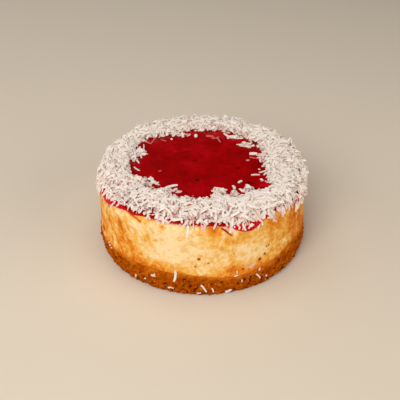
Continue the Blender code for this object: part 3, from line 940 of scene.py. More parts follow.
JAM_COLUMNS = 480
JAM_STEPS = (3, 11, 25, 53)
JAM_WAVES = 0.10 * MM
JAM_WAVES_SPACING = 8.0 * MM
JAM_STREAKS = ((0.22, 14.0 * MM, 61.0), (0.16, 5.0 * MM, 71.0))
# Marks in the jam: X, Y, half length, half width, turn in degrees, brightness change. Those that brighten are
# painted highlights.
JAM_MARKS_AND_HIGHLIGHTS = (
    (-11.9, 22.2, 3.4, 1.0, 10.0, 0.55),
    (-21.1, 19.2, 2.2, 0.8, 20.0, 0.4),
    (0.5, 27.6, 2.4, 0.8, -15.0, 0.45),
    (43.9, -28.4, 4.6, 1.5, 20.0, 0.6),
    (26.6, -5.0, 2.2, 1.0, 15.0, -0.6),
    (34.0, -25.2, 2.4, 1.2, 20.0, -0.6),
    (-5.5, 5.4, 1.8, 1.2, 0.0, -0.5),
    (-9.1, -26.8, 0.9, 0.7, 0.0, 0.7),
)
# Pits in the jam: X, Y and radius, the first of them deep. All are painted near-black inside as painted
# shade.
JAM_PIT = (-3.5 * MM, -20.6 * MM, 1.8 * MM)
JAM_PIT_DEPTH = 1.5 * MM
JAM_SMALL_PITS = (
    (-5.5 * MM, 6.6 * MM, 0.8 * MM),
    (-31.2 * MM, 10.9 * MM, 0.8 * MM),
    (-25.2 * MM, -22.3 * MM, 0.7 * MM),
    (26.6 * MM, -5.0 * MM, 0.9 * MM),
    (34.0 * MM, -25.2 * MM, 1.0 * MM),
)


def jam_place(angle, along, upper):
    """Places on the jam: on its underside where upper is 0, on its upper face where it is 1."""
    thickness = jam_thickness(along, jam_reach(angle)) * upper
    flat = around(angle, along, 0.0)
    waves = JAM_RIPPLE * noise_at(flat, JAM_RIPPLE_SPACING)
    waves += JAM_WAVES * noise_at(flat, JAM_WAVES_SPACING, 17.0)
    away = np.hypot(flat[:, 0] - JAM_PIT[0], flat[:, 1] - JAM_PIT[1]) / JAM_PIT[2]
    waves -= JAM_PIT_DEPTH * np.exp(-(away**2))
    return on_filling(angle, along, GAP + thickness + waves * (along < SHOULDER_START) * upper)


def make_jam(colours):
    """A skin from the middle of the underside to its edge, at row 0, and back over the top."""

    def point(angle, station):
        share = np.interp(station, (-1.0, 0.0, 1.0), (0.0, 1.0, 0.0))
        along = SHOULDER_START + share * (jam_reach(angle) - SHOULDER_START)
        along = np.where(station < -1.0, SHOULDER_START * (station + 2.0), along)
        along = np.where(station > 1.0, SHOULDER_START * (2.0 - station), along)
        return jam_place(angle, along, np.where(station <= 0.0, 0.0, 1.0))

    item = turned_skin("jam_glaze", JAM_COLUMNS, stations_from(-2.0, *JAM_STEPS), point)
    points = points_of(item)
    streak_and_highlight = 0.46 + noise_layers(points, JAM_STREAKS)
    left_over = jam_reach(bearing_of(points)) - SHOULDER_END - (SHOULDER_HEIGHT - points[:, 2])
    streak_and_highlight += 0.55 * (1.0 - smooth_step(1.0 * MM, 9.0 * MM, left_over)) * (points[:, 2] < FILLING_TOP)
    # Marks that brighten the jam are painted highlights.
    for across, deep, long, wide, turn, change in JAM_MARKS_AND_HIGHLIGHTS:
        cos, sin = math.cos(math.radians(turn)), math.sin(math.radians(turn))
        dx, dy = points[:, 0] / MM - across, points[:, 1] / MM - deep
        mark = ((dx * cos + dy * sin) / long) ** 2 + ((dy * cos - dx * sin) / wide) ** 2
        streak_and_highlight += change * np.exp(-mark)
    # Pits are painted near-black: painted shade in the holes.
    pits = np.zeros(len(points))
    for across, deep, radius in (JAM_PIT, *JAM_SMALL_PITS):
        away = np.hypot(points[:, 0] - across, points[:, 1] - deep)
        pits = np.maximum(pits, 1.0 - smooth_step(0.55 * radius, 1.15 * radius, away))
    paint(item, "pits", pits)
    paint(item, "streak_and_highlight", streak_and_highlight)
    finish_piece(item, jam_material(colours), ("jam",))


# Coconut

CORE_COLUMNS = 420
CORE_STEPS = (39, 9)
CORE_GRAIN = ((0.4 * MM, 1.4 * MM, 9.0), (0.3 * MM, 2.9 * MM, 15.0))
CORE_SUNK = 0.3 * MM
CORE_THICKNESS = 0.1 * MM
CORE_MARGIN_IN = 3.0 * MM
CORE_MARGIN_OUT = 5.0 * MM
CORE_FRONT_MARGIN = 7.0 * MM
CORE_DEPTH = 1.1 * MM
# How far the strands' inner edge lies out from the solid's: angle, distance, half width
INNER_TRIMS = (
    (-178.0, 3.2 * MM, 22.0),
    (-160.0, 2.0 * MM, 8.0),
    (-138.0, 3.6 * MM, 7.0),
    (-66.0, 2.2 * MM, 8.0),
    (-42.0, 3.0 * MM, 13.0),
    (-100.0, 1.8 * MM, 30.0),
)
# How far the strands lie out past the solid's outer edge
OUTER_SPREADS = (
    (160.0, 1.8 * MM, 32.0),
    (-26.0, 0.5 * MM, 12.0),
)
# How far the strands stay inside it
OUTER_TRIMS = (
    (-122.0, 3.4 * MM, 36.0),
    (90.0, 2.6 * MM, 55.0),
)
# Where the heap stands out over the side, as shares of the overhang
OVERHANGS = (
    (-125.0, 0.4, 30.0),
    (172.0, 1.0, 42.0),
    (-16.0, 1.0, 34.0),
)
OVERHANG_START = 72.0 * MM
OVERHANG = 5.6 * MM
OVERHANG_FALL = 4.2 * MM
LEDGE = 0.4 * MM
LEDGE_MARGIN = 2.0 * MM
MOUND_SHAPE = 3.0
SIDE_FALL = 3.0

# The grid of heights, and how strands rest on it
CELL = 0.5 * MM
GRID_REACH = 86.0 * MM
TABLE_STEPS = 720
LEVELLED_EVERY = 150
PEAK = 1.0 * MM
SAMPLES = 7
PROBE = 1.0 * MM
STEEPEST = 1.5
FLAT_SLOPE = 0.5
RIM = (73.0 * MM, 77.0 * MM)
DROOP = 0.55
MOST_DROOP = 0.16
SETTLING = 0.30
FOOTPRINT_LONG = np.linspace(-0.5, 0.5, 15)
FOOTPRINT_WIDE = np.array((-0.45, -0.15, 0.15, 0.45))
# Depths under the heap's top over which a strand is painted from lit to shaded
BURIED = (0.2 * MM, 1.3 * MM)
STAINED_BELOW = 1.6 * MM


def heap_inner(angle):
    return ring_inner(angle) + bells(angle, INNER_TRIMS)


def core_edges(angle):
    front = CORE_FRONT_MARGIN * bell(angle, -102.0, 58.0)
    return heap_inner(angle) + CORE_MARGIN_IN, ring_outer(angle) - CORE_MARGIN_OUT - front


def make_coconut_core(field, material):
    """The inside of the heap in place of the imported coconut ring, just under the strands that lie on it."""
    heap = field.smoothed()

    def point(angle, station):
        inner, outer = core_edges(angle)
        share = np.where(station <= 1.0, station, 2.0 - station)
        along = inner + share * (outer - inner)
        proud = GAP + jam_thickness(along, jam_reach(angle)) - CORE_SUNK
        places = on_filling(angle, along, proud)
        rounding = smooth_step(0.0, 0.12, share) * smooth_step(0.0, 0.10, 1.0 - share)
        settled = heap[field.cells(places[:, 0], places[:, 1])] - CORE_DEPTH
        settled += noise_layers(places, CORE_GRAIN)
        raised = np.maximum(settled - places[:, 2], 0.0) * rounding
        places[:, 2] += np.where(station <= 1.0, raised, -CORE_THICKNESS)
        return places

    item = turned_skin("coconut_core", CORE_COLUMNS, stations_from(0.0, *CORE_STEPS), point)
    bearing = bearing_of(points_of(item))
    # The core is painted wholly in the shade colour: painted shade in the gaps between the strands.
    paint(item, "tone_and_shade", np.zeros(len(bearing)))
    paint(item, "stain", 0.03 + 0.45 * bell(bearing, -105.0, 55.0))
    finish_piece(item, material, ("coconut_ring",))


def overhang_share(angle):
    """How far the heap stands out over the side: most at left and right, none at front and back."""
    return np.clip(bells(angle, OVERHANGS), 0.0, 1.0)


class HeightField:
    """The height that falling strands come to rest on, on a square grid over the cake."""

    def __init__(self, sizes):
        count = int(2 * GRID_REACH / CELL) + 1
        line = -GRID_REACH + CELL * np.arange(count)
        self.count = count
        across, deep = np.meshgrid(line, line, indexing="ij")
        radius = np.hypot(across, deep)
        angle = np.degrees(np.arctan2(deep, across))
        turns = np.linspace(-180.0, 180.0, TABLE_STEPS + 1)
        edges = (*core_edges(turns), jam_reach(turns))
        inner, outer, jam_edge = (np.interp(angle, turns, edge) for edge in edges)
        turn = np.arcsin(np.clip((radius - SHOULDER_START) / (SHOULDER + GAP), 0.0, 1.0))
        along = np.where(radius <= SHOULDER_START, radius, SHOULDER_START + SHOULDER * turn)
        share = (along - inner) / (outer - inner)
        rounded = np.clip(1.0 - np.abs(2.0 * share - 1.0) ** MOUND_SHAPE, 0.0, 1.0)
        drop = SHOULDER * (1.0 - np.cos(turn))
        thickness = jam_thickness(along, jam_edge) * (along < jam_edge)
        self.base = FILLING_TOP + GAP + thickness - drop
        beyond = radius > SIDE_RADII[-1]
        self.base[beyond] = SHOULDER_HEIGHT - SIDE_FALL * (radius[beyond] - SIDE_RADII[-1])
        self.height = self.base + sizes.mound_height * rounded
        reach = OVERHANG_START + LEDGE_MARGIN + OVERHANG * overhang_share(angle)
        fall = np.clip((radius - OVERHANG_START) / (reach - OVERHANG_START), 0.0, None) ** 2
        ledge = JAM_TOP + LEDGE - OVERHANG_FALL * fall
        shown = (radius > OVERHANG_START) & (radius < reach)
        self.height = np.where(shown, np.maximum(self.height, ledge), self.height)

    def cells(self, across, deep):
        row = np.clip(((across + GRID_REACH) / CELL).astype(int), 0, self.count - 1)
        column = np.clip(((deep + GRID_REACH) / CELL).astype(int), 0, self.count - 1)
        return row, column

    def smoothed(self):
        """The heights averaged over the cells within 1 mm each way."""
        steps = range(-2, 3)
        shifted = (np.roll(self.height, (row, column), (0, 1)) for row in steps for column in steps)
        return sum(shifted) / len(steps) ** 2

    def levelled(self):
        """Settles peaks: nothing stands higher than PEAK over what is round it."""
        self.height = np.minimum(self.height, self.smoothed() + PEAK)

    def sampled(self, across, deep):
        return self.height[self.cells(across, deep)]

    def raised(self, across, deep, level):
        row, column = self.cells(across, deep)
        np.maximum.at(self.height, (row, column), level)


def lay_strand(field, limit, across, deep, heading, length, width, thickness, lift):
    """Rests one strand on the field, unless it would pass the limit.

    Returns its height at the middle, its slope, the droop of both ends and its roll."""
    cos, sin = math.cos(heading), math.sin(heading)
    probed = field.sampled(
        np.array([across + PROBE * cos, across - PROBE * cos]),
        np.array([deep + PROBE * sin, deep - PROBE * sin]),
    )
    steepest = FLAT_SLOPE + (STEEPEST - FLAT_SLOPE) * float(smooth_step(*RIM, math.hypot(across, deep)))
    tilt = float(np.clip((probed[0] - probed[1]) / (2 * PROBE), -steepest, steepest))
    length = length * math.cos(math.atan(tilt))
    reach = np.linspace(-0.5, 0.5, SAMPLES) * length
    heights = field.sampled(across + reach * cos, deep + reach * sin)
    middle = SAMPLES // 2
    back, ahead = heights[: middle + 1], heights[middle:]
    near, far = reach[: middle + 1, None], reach[None, middle:]
    span = np.maximum(far - near, 1e-9)
    at_middle = (back[:, None] * far - ahead[None] * near) / span
    at_middle[-1, 0] = heights[middle]
    best = np.unravel_index(np.argmax(at_middle), at_middle.shape)
    level = at_middle[best]
    if best == (middle, 0):
        slope = 0.5 * (heights[middle + 1] - heights[middle - 1]) / (reach[1] - reach[0])
    else:
        slope = (ahead[best[1]] - back[best[0]]) / max(reach[middle + best[1]] - reach[best[0]], 1e-9)
    slope = float(np.clip(slope, -steepest, steepest))
    ends = level + slope * reach[[0, -1]] - heights[[0, -1]]
    droops = np.clip(DROOP * ends, 0.0, MOST_DROOP * length)
    side = 0.5 * width
    left, right = field.sampled(
        np.array([across - side * sin, across + side * sin]),
        np.array([deep + side * cos, deep - side * cos]),
    )
    roll = max(-1.0, min(1.0, math.atan2(left - right, width)))
    slope += lift
    if level + 0.5 * length * abs(slope) > limit:
        return None
    wide, long = np.meshgrid(FOOTPRINT_WIDE * width, FOOTPRINT_LONG * length)
    top = level + slope * long - np.where(long < 0, droops[0], droops[1]) * (2 * long / length) ** 2
    field.raised(across + long * cos - wide * sin, deep + long * sin + wide * cos, top + SETTLING * thickness)
    return level + 0.5 * SETTLING * thickness, slope, droops[0], droops[1], roll


def bent_strips(form, rows):
    """Places copies of a strip form.

    Each row gives a copy's X, Y, Z, heading, length, width, thickness, slope, droops, roll and bow."""
    columns = np.asarray(rows, float).T[:, :, None]
    x, y, z, heading, length, width, thickness, slope, back, ahead, roll, bow = columns
    s = form[None, :, 0]
    long = s * length
    bend = bow * length * (4.0 * s * s - 1.0)
    wide = form[None, :, 1] * width
    thick = form[None, :, 2] * thickness
    side = wide * np.cos(roll) - thick * np.sin(roll) + bend
    up = wide * np.sin(roll) + thick * np.cos(roll)
    up = up - np.where(s < 0, back, ahead) * 4.0 * s * s
    flat = np.cos(np.arctan(slope))
    forward = long * flat - up * np.sin(np.arctan(slope))
    rise = long * np.sin(np.arctan(slope)) + up * flat
    cos, sin = np.cos(heading), np.sin(heading)
    return np.stack([x + forward * cos - side * sin, y + forward * sin + side * cos, z + rise], axis=-1)


def ring_density(angle, share, draw):
    """Whether a strand may fall here: full on the mound, thinner at its edges and at the back."""
    front = bell(angle, -98.0, 52.0)
    edge = smooth_step(0.64, 1.0, share)
    inner = 1.0 - smooth_step(0.0, 0.14, share)
    keep = 1.0 - (0.30 + 0.50 * front) * edge - 0.45 * inner - 0.35 * bell(angle, 90.0, 55.0)
    return draw.random() < keep


def strand_scale(angle):
    """Strands are longest at the front right and short at the left."""
    return 1.0 + 0.2 * float(bell(angle, -62.0, 45.0)) - 0.16 * float(bell(angle, 175.0, 50.0))


# Kinds of strand: name, share of all, lengths and widths in millimetres, stretches that it bends at
SHRED_KINDS = (
    ("coconut_strands", 0.22, (5.0, 7.6), (1.2, 2.0), 4),
    ("coconut_shreds", 0.50, (3.0, 5.0), (1.3, 2.2), 3),
    ("coconut_bits", 0.28, (1.8, 3.2), (1.4, 2.5), 2),
)
STANDING_SHARE = 0.3
STANDING_LIFT = (0.25, 0.85)
LYING_LIFT = (-0.04, 0.14)
ACROSS_EDGE_FROM = 0.84
SPREAD_FROM = 0.9
# Clumps at the heap's inner edge, in millimetres: X, Y, spread along X and Y, strands
CLUMPS = (
    (-48.5, 16.5, 3.4, 3.0, 40),
    (-52.5, 8.0, 1.8, 5.0, 20),
    (-36.0, -26.0, 3.0, 2.5, 20),
    (-24.0, -35.5, 5.0, 1.8, 22),
    (13.0, -36.5, 5.4, 2.4, 24),
    (33.0, -36.0, 3.2, 3.4, 34),
    (22.5, -40.0, 2.5, 2.0, 14),
    (46.0, 9.0, 2.2, 6.0, 26),
    (36.0, 29.0, 3.5, 3.0, 20),
    (-18.0, 44.0, 8.0, 1.6, 16),
    (24.0, 41.0, 5.0, 2.2, 16),
)


def fluff(angle):
    """Strands stand up and roll less at the left, where the heap is pressed flatter."""
    return 1.0 - 0.75 * float(bell(angle, 172.0, 52.0))


def strand_of(kind, draw, scale, usual, lifted):
    """Length, width, thickness and lift of one strand of a kind, from the usual thickness."""
    _, _, lengths, widths, _ = kind
    lifts = STANDING_LIFT if draw.random() < STANDING_SHARE * lifted else LYING_LIFT
    lift = draw.uniform(*lifts)
    thickness = usual * draw.uniform(0.65, 1.2)
    length = draw.uniform(*lengths) * scale * MM
    return length, draw.uniform(*widths) * math.sqrt(scale) * MM, thickness, lift


def rim_strands(sizes, draw):
    """Kinds, places, headings and sizes of strands that fall round the rim, without end."""
    weights = [kind[1] for kind in SHRED_KINDS]
    while True:
        kind = draw.choices(SHRED_KINDS, weights)[0]
        angle = draw.uniform(-180.0, 180.0)
        share = draw.uniform(-0.04, 1.06)
        if not ring_density(angle, share, draw):
            continue
        inner, outer = heap_inner(np.array([angle]))[0], ring_outer(np.array([angle]))[0]
        strand = strand_of(kind, draw, strand_scale(angle), sizes.shred_thickness, fluff(angle))
        inner += 0.32 * strand[0]
        outer -= bells(angle, OUTER_TRIMS)
        radius = float(over_edge(inner + share * (outer - inner), 0.0)[0])
        if share > SPREAD_FROM:
            radius += draw.uniform(0.0, 1.0) * OVERHANG * 0.55 * float(overhang_share(angle))
            radius += bells(angle, OUTER_SPREADS)
        heading = math.radians(draw.uniform(0.0, 360.0))
        if share > ACROSS_EDGE_FROM:
            heading = math.radians(angle + draw.gauss(0.0, 50.0))
        turn = math.radians(angle)
        yield kind[0], radius * math.cos(turn), radius * math.sin(turn), heading, strand


def clump_strands(sizes, draw):
    """The same for the clumps at the heap's inner edge."""
    for middle_x, middle_y, spread_x, spread_y, count in CLUMPS:
        for _ in range(count):
            kind = SHRED_KINDS[1] if draw.random() < 0.6 else SHRED_KINDS[2]
            across, deep = draw.gauss(middle_x, 0.6 * spread_x), draw.gauss(middle_y, 0.6 * spread_y)
            heading = draw.uniform(0.0, 2.0 * math.pi)
            strand = strand_of(kind, draw, 1.0, sizes.shred_thickness, 1.0)
            yield kind[0], across * MM, deep * MM, heading, strand


def make_shreds(sizes, material):
    """Drops strands in turn over the rim, each resting on those before it."""
    draw = random.Random(sizes.seed)
    field = HeightField(sizes)
    forms = {}
    for name, _, _, _, stretches in SHRED_KINDS:
        forms[name] = [strip_form("strip", stretches, *ends) for ends in STRIP_ENDS]
    placed = {name: [[] for _ in STRIP_ENDS] for name in forms}
    laid = 0
    fallen = itertools.chain(clump_strands(sizes, draw), rim_strands(sizes, draw))
    for name, across, deep, heading, strand in itertools.islice(fallen, 2 * sizes.shreds):
        rest = lay_strand(field, sizes.heap_limit, across, deep, heading, *strand)
        if rest is None:
            continue
        level, *bends, roll = rest
        laid += 1
        if laid % LEVELLED_EVERY == 0:
            field.levelled()
        form = draw.randrange(len(STRIP_ENDS))
        bow = draw.gauss(0.0, 0.05)
        roll += draw.gauss(0.0, 0.32) * fluff(math.degrees(math.atan2(deep, across)))
        over_jam = level - field.base[field.cells(np.array([across]), np.array([deep]))][0]
        stain = max(0.0, 1.0 - over_jam / STAINED_BELOW) * draw.uniform(0.0, 0.28)
        placed[name][form].append((stain, across, deep, level, heading, *strand[:3], *bends, roll, bow))
        if laid == sizes.shreds:
            break
    for name in forms:
        groups = []
        for (points, faces), rows in zip(forms[name], placed[name]):
            stain, across, deep, level = np.array(rows).T[:4]
            buried = smooth_step(*BURIED, field.sampled(across, deep) - level)
            bearing = np.degrees(np.arctan2(deep, across))
            # Buried strands are painted toward the shade colour as painted shade between the strands, less so
            # at the left; the rest of the tint is random tone.
            burial_shade = buried * (1.0 - 0.6 * bell(bearing, 172.0, 52.0))
            tone_and_shade = [0.25 * draw.random() + 0.75 * (1.0 - share) for share in burial_shade]
            stain = stain * (0.5 + 0.5 * bell(bearing, -100.0, 60.0))
            stain = np.maximum(stain, 0.13 * buried * bell(bearing, -105.0, 55.0))
            strips = bent_strips(points, np.array(rows)[:, 1:])
            groups.append((strips, faces, {"tone_and_shade": tone_and_shade, "stain": stain}))
        finish_piece(joined_copies(name, groups, smooth=True), material)
    return field


# Stray flakes on the side: angle, height, length and width in millimetres, turn from level, stain
STRAYS_ON_SIDE = (
    (-104.2, 16.9, 10.4, 2.0, 84.0, 0.0),
    (-115.9, 12.6, 3.6, 1.8, 8.0, 0.1),
    (-115.4, 13.8, 2.6, 1.0, 70.0, 0.1),
    (-127.5, 5.2, 3.2, 1.0, 80.0, 0.0),
    (-89.3, 7.4, 7.6, 1.5, -60.0, 0.0),
    (-84.7, 5.8, 4.2, 1.1, -72.0, 0.0),
    (-106.8, 6.0, 2.8, 1.0, 20.0, 0.0),
    (-105.6, 5.4, 2.4, 1.0, -20.0, 0.0),
    (-91.8, 3.0, 3.0, 1.4, 4.0, 0.1),
    (-76.4, 2.8, 4.8, 1.7, 14.0, 0.0),
    (-60.0, 9.9, 6.6, 1.2, -56.0, 0.0),
    (-72.6, 16.4, 2.8, 0.9, 8.0, 0.0),
    (-72.3, 19.4, 2.6, 0.7, 85.0, 0.0),
    (-63.3, 21.4, 3.6, 1.8, 22.0, 0.25),
    (-66.4, 21.5, 1.6, 1.1, 40.0, 0.2),
    (-64.8, 20.6, 1.4, 1.0, 10.0, 0.1),
    (-59.3, 16.1, 2.6, 0.9, 75.0, 0.1),
    (-54.9, 7.6, 1.6, 1.0, 60.0, 0.0),
    (-69.5, 10.6, 2.2, 0.8, 80.0, 0.0),
    (-121.1, 7.0, 2.0, 1.0, 30.0, 0.1),
    (-149.3, 15.6, 1.8, 1.3, 20.0, 0.1),
    (-147.8, 14.4, 1.8, 1.2, 60.0, 0.1),
    (-150.5, 17.0, 1.4, 1.0, 0.0, 0.1),
    (-49.2, 51.5, 2.6, 1.2, -45.0, 0.05),
    (-75.4, 55.2, 4.2, 2.7, 32.0, 0.05),
    (-78.0, 55.0, 9.0, 1.2, -42.0, 0.95),
    (-21.5, 52.5, 4.4, 1.2, 60.0, 0.0),
    (-18.0, 53.0, 3.6, 1.2, -50.0, 0.0),
    (-59.6, 56.2, 9.0, 2.0, 62.0, 0.0),
    (-97.4, 56.0, 8.0, 1.9, 86.0, 0.0),
    (86.0, 34.0, 5.0, 1.3, 62.0, 0.0),
    (58.0, 8.5, 6.0, 1.5, 48.0, 0.0),
    (112.0, 5.5, 4.4, 1.4, -20.0, 0.0),
    (171.0, 9.5, 5.5, 1.4, 66.0, 0.0),
    (133.0, 26.0, 2.4, 1.2, 30.0, 0.1),
    (36.0, 12.0, 3.2, 1.2, 75.0, 0.0),
)
# Strands that lie on the jam, in millimetres: X and Y of both ends, width, rise, stain
STRANDS_ON_JAM = (
    (-37.0, 40.0, -40.5, 30.6, 0.8, 0.1, 0.45),
    (-40.5, 30.6, -45.7, 34.4, 0.8, 0.1, 0.45),
    (-33.0, 37.7, -28.4, 34.4, 0.9, 0.1, 0.5),
    (-25.2, 38.3, -23.8, 36.6, 1.4, 0.2, 0.0),
    (-15.8, 42.4, -14.9, 40.6, 1.4, 0.2, 0.0),
    (-5.4, 45.0, -4.8, 40.6, 2.6, 0.3, 0.0),
    (-46.2, 28.9, -45.9, 20.2, 1.0, 0.4, 0.05),
    (-49.6, 20.1, -42.2, 13.6, 1.8, 0.6, 0.0),
    (-49.8, 11.1, -45.3, 19.3, 1.8, 1.0, 0.0),
    (-50.2, 21.5, -44.6, 17.4, 2.0, 1.4, 0.0),
    (-49.0, 16.3, -46.5, 8.1, 1.5, 0.3, 0.05),
    (-53.5, 19.2, -51.2, 3.8, 1.6, 1.6, 0.0),
    (-51.0, 6.7, -47.8, 0.2, 1.4, 0.4, 0.05),
    (-51.1, -4.5, -46.6, -9.4, 1.5, 0.2, 0.1),
    (-32.7, -9.8, -30.3, -9.8, 1.0, 0.1, 0.6),
    (-43.1, -18.1, -40.7, -19.4, 1.2, 0.1, 0.15),
    (-33.1, -36.1, -25.2, -33.8, 2.0, 1.0, 0.0),
    (-32.0, -39.0, -24.0, -35.0, 1.8, 0.5, 0.0),
    (-26.8, -34.2, -17.8, -30.2, 2.4, 1.2, 0.0),
    (-7.3, -42.7, -5.9, -42.3, 1.0, 0.1, 0.6),
    (27.0, 28.4, 34.6, 29.5, 1.4, 0.5, 0.0),
    (29.4, 27.0, 38.3, 24.5, 1.5, 0.2, 0.05),
    (36.5, 14.8, 42.7, 14.8, 2.8, 0.4, 0.0),
    (36.4, 10.1, 43.7, 7.7, 1.4, 0.1, 0.5),
    (41.8, 12.9, 45.2, 9.6, 1.4, 0.6, 0.05),
    (33.5, 5.2, 36.2, 5.5, 1.4, 0.1, 0.4),
    (42.0, -6.9, 43.5, -8.2, 1.2, 0.2, 0.1),
    (42.2, -13.0, 49.7, -8.6, 1.5, 0.8, 0.0),
    (36.1, -15.6, 42.5, -15.5, 1.5, 0.3, 0.05),
    (26.1, -26.0, 29.0, -23.0, 2.0, 0.2, 0.05),
    (22.1, -29.6, 22.8, -35.1, 2.2, 0.3, 0.05),
    (11.6, 40.1, 14.5, 33.0, 1.1, 0.1, 0.45),
    (3.2, 42.9, 9.6, 41.3, 2.4, 0.1, 0.55),
    (7.9, 38.5, 13.6, 41.4, 1.2, 0.1, 0.45),
    (17.9, 46.3, 21.8, 39.7, 2.2, 0.5, 0.0),
    (22.9, 43.2, 27.4, 38.1, 1.8, 0.3, 0.0),
    (28.9, 38.1, 33.0, 38.1, 2.6, 0.8, 0.0),
    (42.6, -20.9, 44.3, -23.4, 2.0, 0.3, 0.05),
    (45.7, -23.4, 47.8, -25.6, 1.6, 0.2, 0.25),
    (8.3, -33.0, 17.8, -36.7, 1.5, 0.9, 0.0),
    (6.5, -37.0, 13.2, -40.8, 1.5, 0.5, 0.05),
    (11.2, -33.8, 16.8, -40.2, 1.6, 0.7, 0.0),
    (24.2, -39.1, 24.2, -43.9, 1.8, 0.6, 0.0),
    (35.9, -32.6, 35.5, -38.4, 2.4, 0.7, 0.0),
    (37.4, -36.7, 42.9, -36.0, 2.0, 0.6, 0.0),
)
# Strands past the heap that lie over the rounded edge: angle, spread, lowest place on it, count, stain
FRINGE = (
    (-68.0, 8.0, 78.4 * MM, 46, 0.05),
    (-48.0, 8.0, 74.6 * MM, 16, 0.05),
    (-93.0, 11.0, 73.6 * MM, 14, 0.06),
    (-122.0, 12.0, 73.6 * MM, 24, 0.05),
    (-150.0, 9.0, 78.6 * MM, 30, 0.04),
    (-176.0, 13.0, 79.0 * MM, 44, 0.04),
    (155.0, 14.0, 78.0 * MM, 30, 0.04),
    (-20.0, 12.0, 76.0 * MM, 30, 0.04),
    (15.0, 18.0, 77.5 * MM, 40, 0.05),
    (62.0, 20.0, 76.5 * MM, 44, 0.05),
    (118.0, 22.0, 76.5 * MM, 44, 0.05),
)
FRINGE_START = 70.5 * MM
FRINGE_UNEVEN = 0.22
FRINGE_LENGTH = (2.8, 5.4)
FRINGE_WIDTH = (1.1, 1.9)
STRAY_THICKNESS = 0.7 * MM


def fringe_rows(sizes):
    """Places of the fringe's strands, as strays_rows gives them: most of them point down the side."""
    draw = random.Random(sizes.seed + 5)
    placed = []
    for middle, spread, lowest, count, stain in FRINGE:
        for _ in range(count):
            angle = draw.gauss(middle, spread)
            along = FRINGE_START + (lowest - FRINGE_START) * draw.random() ** 1.3
            length = draw.uniform(*FRINGE_LENGTH) * strand_scale(angle)
            proud = draw.uniform(0.9, 2.0) * MM
            place = on_filling(np.array([angle]), np.array([along]), proud)[0]
            lean = min((along - SHOULDER_START) / SHOULDER, math.pi / 2)
            around_it = math.radians(angle)
            outward = np.array([
                math.sin(lean) * math.cos(around_it) + draw.gauss(0.0, FRINGE_UNEVEN),
                math.sin(lean) * math.sin(around_it) + draw.gauss(0.0, FRINGE_UNEVEN),
                math.cos(lean) + draw.gauss(0.0, FRINGE_UNEVEN),
            ])
            turn = -90.0 + draw.gauss(0.0, 42.0)
            stained = stain * draw.random() ** 1.5 * 2.0
            placed.append((place, outward, angle + 90.0, length, draw.uniform(*FRINGE_WIDTH), turn, stained))
    return placed


def strays_rows(sizes):
    """Places of the stray flakes as frames: middle, lengthwise, across and outward, with their sizes."""
    placed = []
    for angle, height, length, width, turn, stain in STRAYS_ON_SIDE:
        level = np.array([height * MM])
        spot = np.array([angle])
        if height * MM < crumb_top(spot)[0]:
            place = crumb_side(spot, level, sizes, 0.35 * MM)[0]
        else:
            along = SHOULDER_END + SHOULDER_HEIGHT - level
            along = np.where(level > SHOULDER_HEIGHT, SHOULDER_END - (level - SHOULDER_HEIGHT), along)
            place = on_filling(spot, along, 0.45 * MM)[0]
        outward = np.array([math.cos(math.radians(angle)), math.sin(math.radians(angle)), 0.0])
        if height * MM > SHOULDER_HEIGHT:
            outward[2] = 0.45
        placed.append((place, outward, angle + 90.0, length, width, turn, stain))
    return placed


def make_strays(sizes, material):
    """Single flakes on the side and on the jam."""
    draw = random.Random(sizes.seed + 9)
    points, faces = strip_form("strip", 4, 0.7, 0.6)
    copies, tints, stains = [], [], []
    for place, outward, level_angle, length, width, turn, stain in strays_rows(sizes) + fringe_rows(sizes):
        outward = Vector(outward).normalized()
        level = Vector((math.cos(math.radians(level_angle)), math.sin(math.radians(level_angle)), 0.0))
        along = Matrix.Rotation(math.radians(turn), 3, outward) @ level
        along = (along - outward * along.dot(outward)).normalized()
        axes = np.array([along, outward.cross(along), outward])
        bow = draw.gauss(0.0, 0.05) * length
        local = points * (length * MM, width * MM, STRAY_THICKNESS)
        local[:, 1] += bow * MM * (4.0 * points[:, 0] ** 2 - 1.0)
        copies.append(local @ axes + place)
        tints.append(draw.uniform(0.5, 1.0))
        stains.append(stain)
    values = {"tone_and_shade": np.array(tints), "stain": np.array(stains)}
    rows = []
    for x0, y0, x1, y1, width, rise, _ in STRANDS_ON_JAM:
        length = math.hypot(x1 - x0, y1 - y0) * MM
        level = JAM_TOP + (rise + 0.3) * MM
        middle = (0.5 * (x0 + x1) * MM, 0.5 * (y0 + y1) * MM, level)
        rows.append((
            *middle, math.atan2(y1 - y0, x1 - x0), length, width * MM, sizes.shred_thickness,
            draw.uniform(-0.05, 0.05), 0.0, 0.0, draw.uniform(-0.3, 0.3), draw.gauss(0.0, 0.05),
        ))
    on_jam = {"tone_and_shade": np.full(len(rows), 0.8), "stain": np.array([row[-1] for row in STRANDS_ON_JAM])}
    groups = [(np.array(copies), faces, values), (bent_strips(points, rows), faces, on_jam)]
    finish_piece(joined_copies("stray_coconut", groups, smooth=True), material)


# Stage: the camera stands at the photograph's viewing angle

CAMERA_PLACE = (-1.67 * MM, -456.23 * MM, 345.36 * MM)
CAMERA_PITCH = 34.8
LENS = 63.8
WORLD_LIGHT = 0.04
WORLD_COLOUR = (1.0, 0.97, 0.94, 1.0)
FLOOR_SIZE = 6.0
FLOOR_GAP = 0.05 * MM
FLOOR_SHADE = 0.985
LIGHT_AIM = Vector((0.0, 0.0, 0.03))
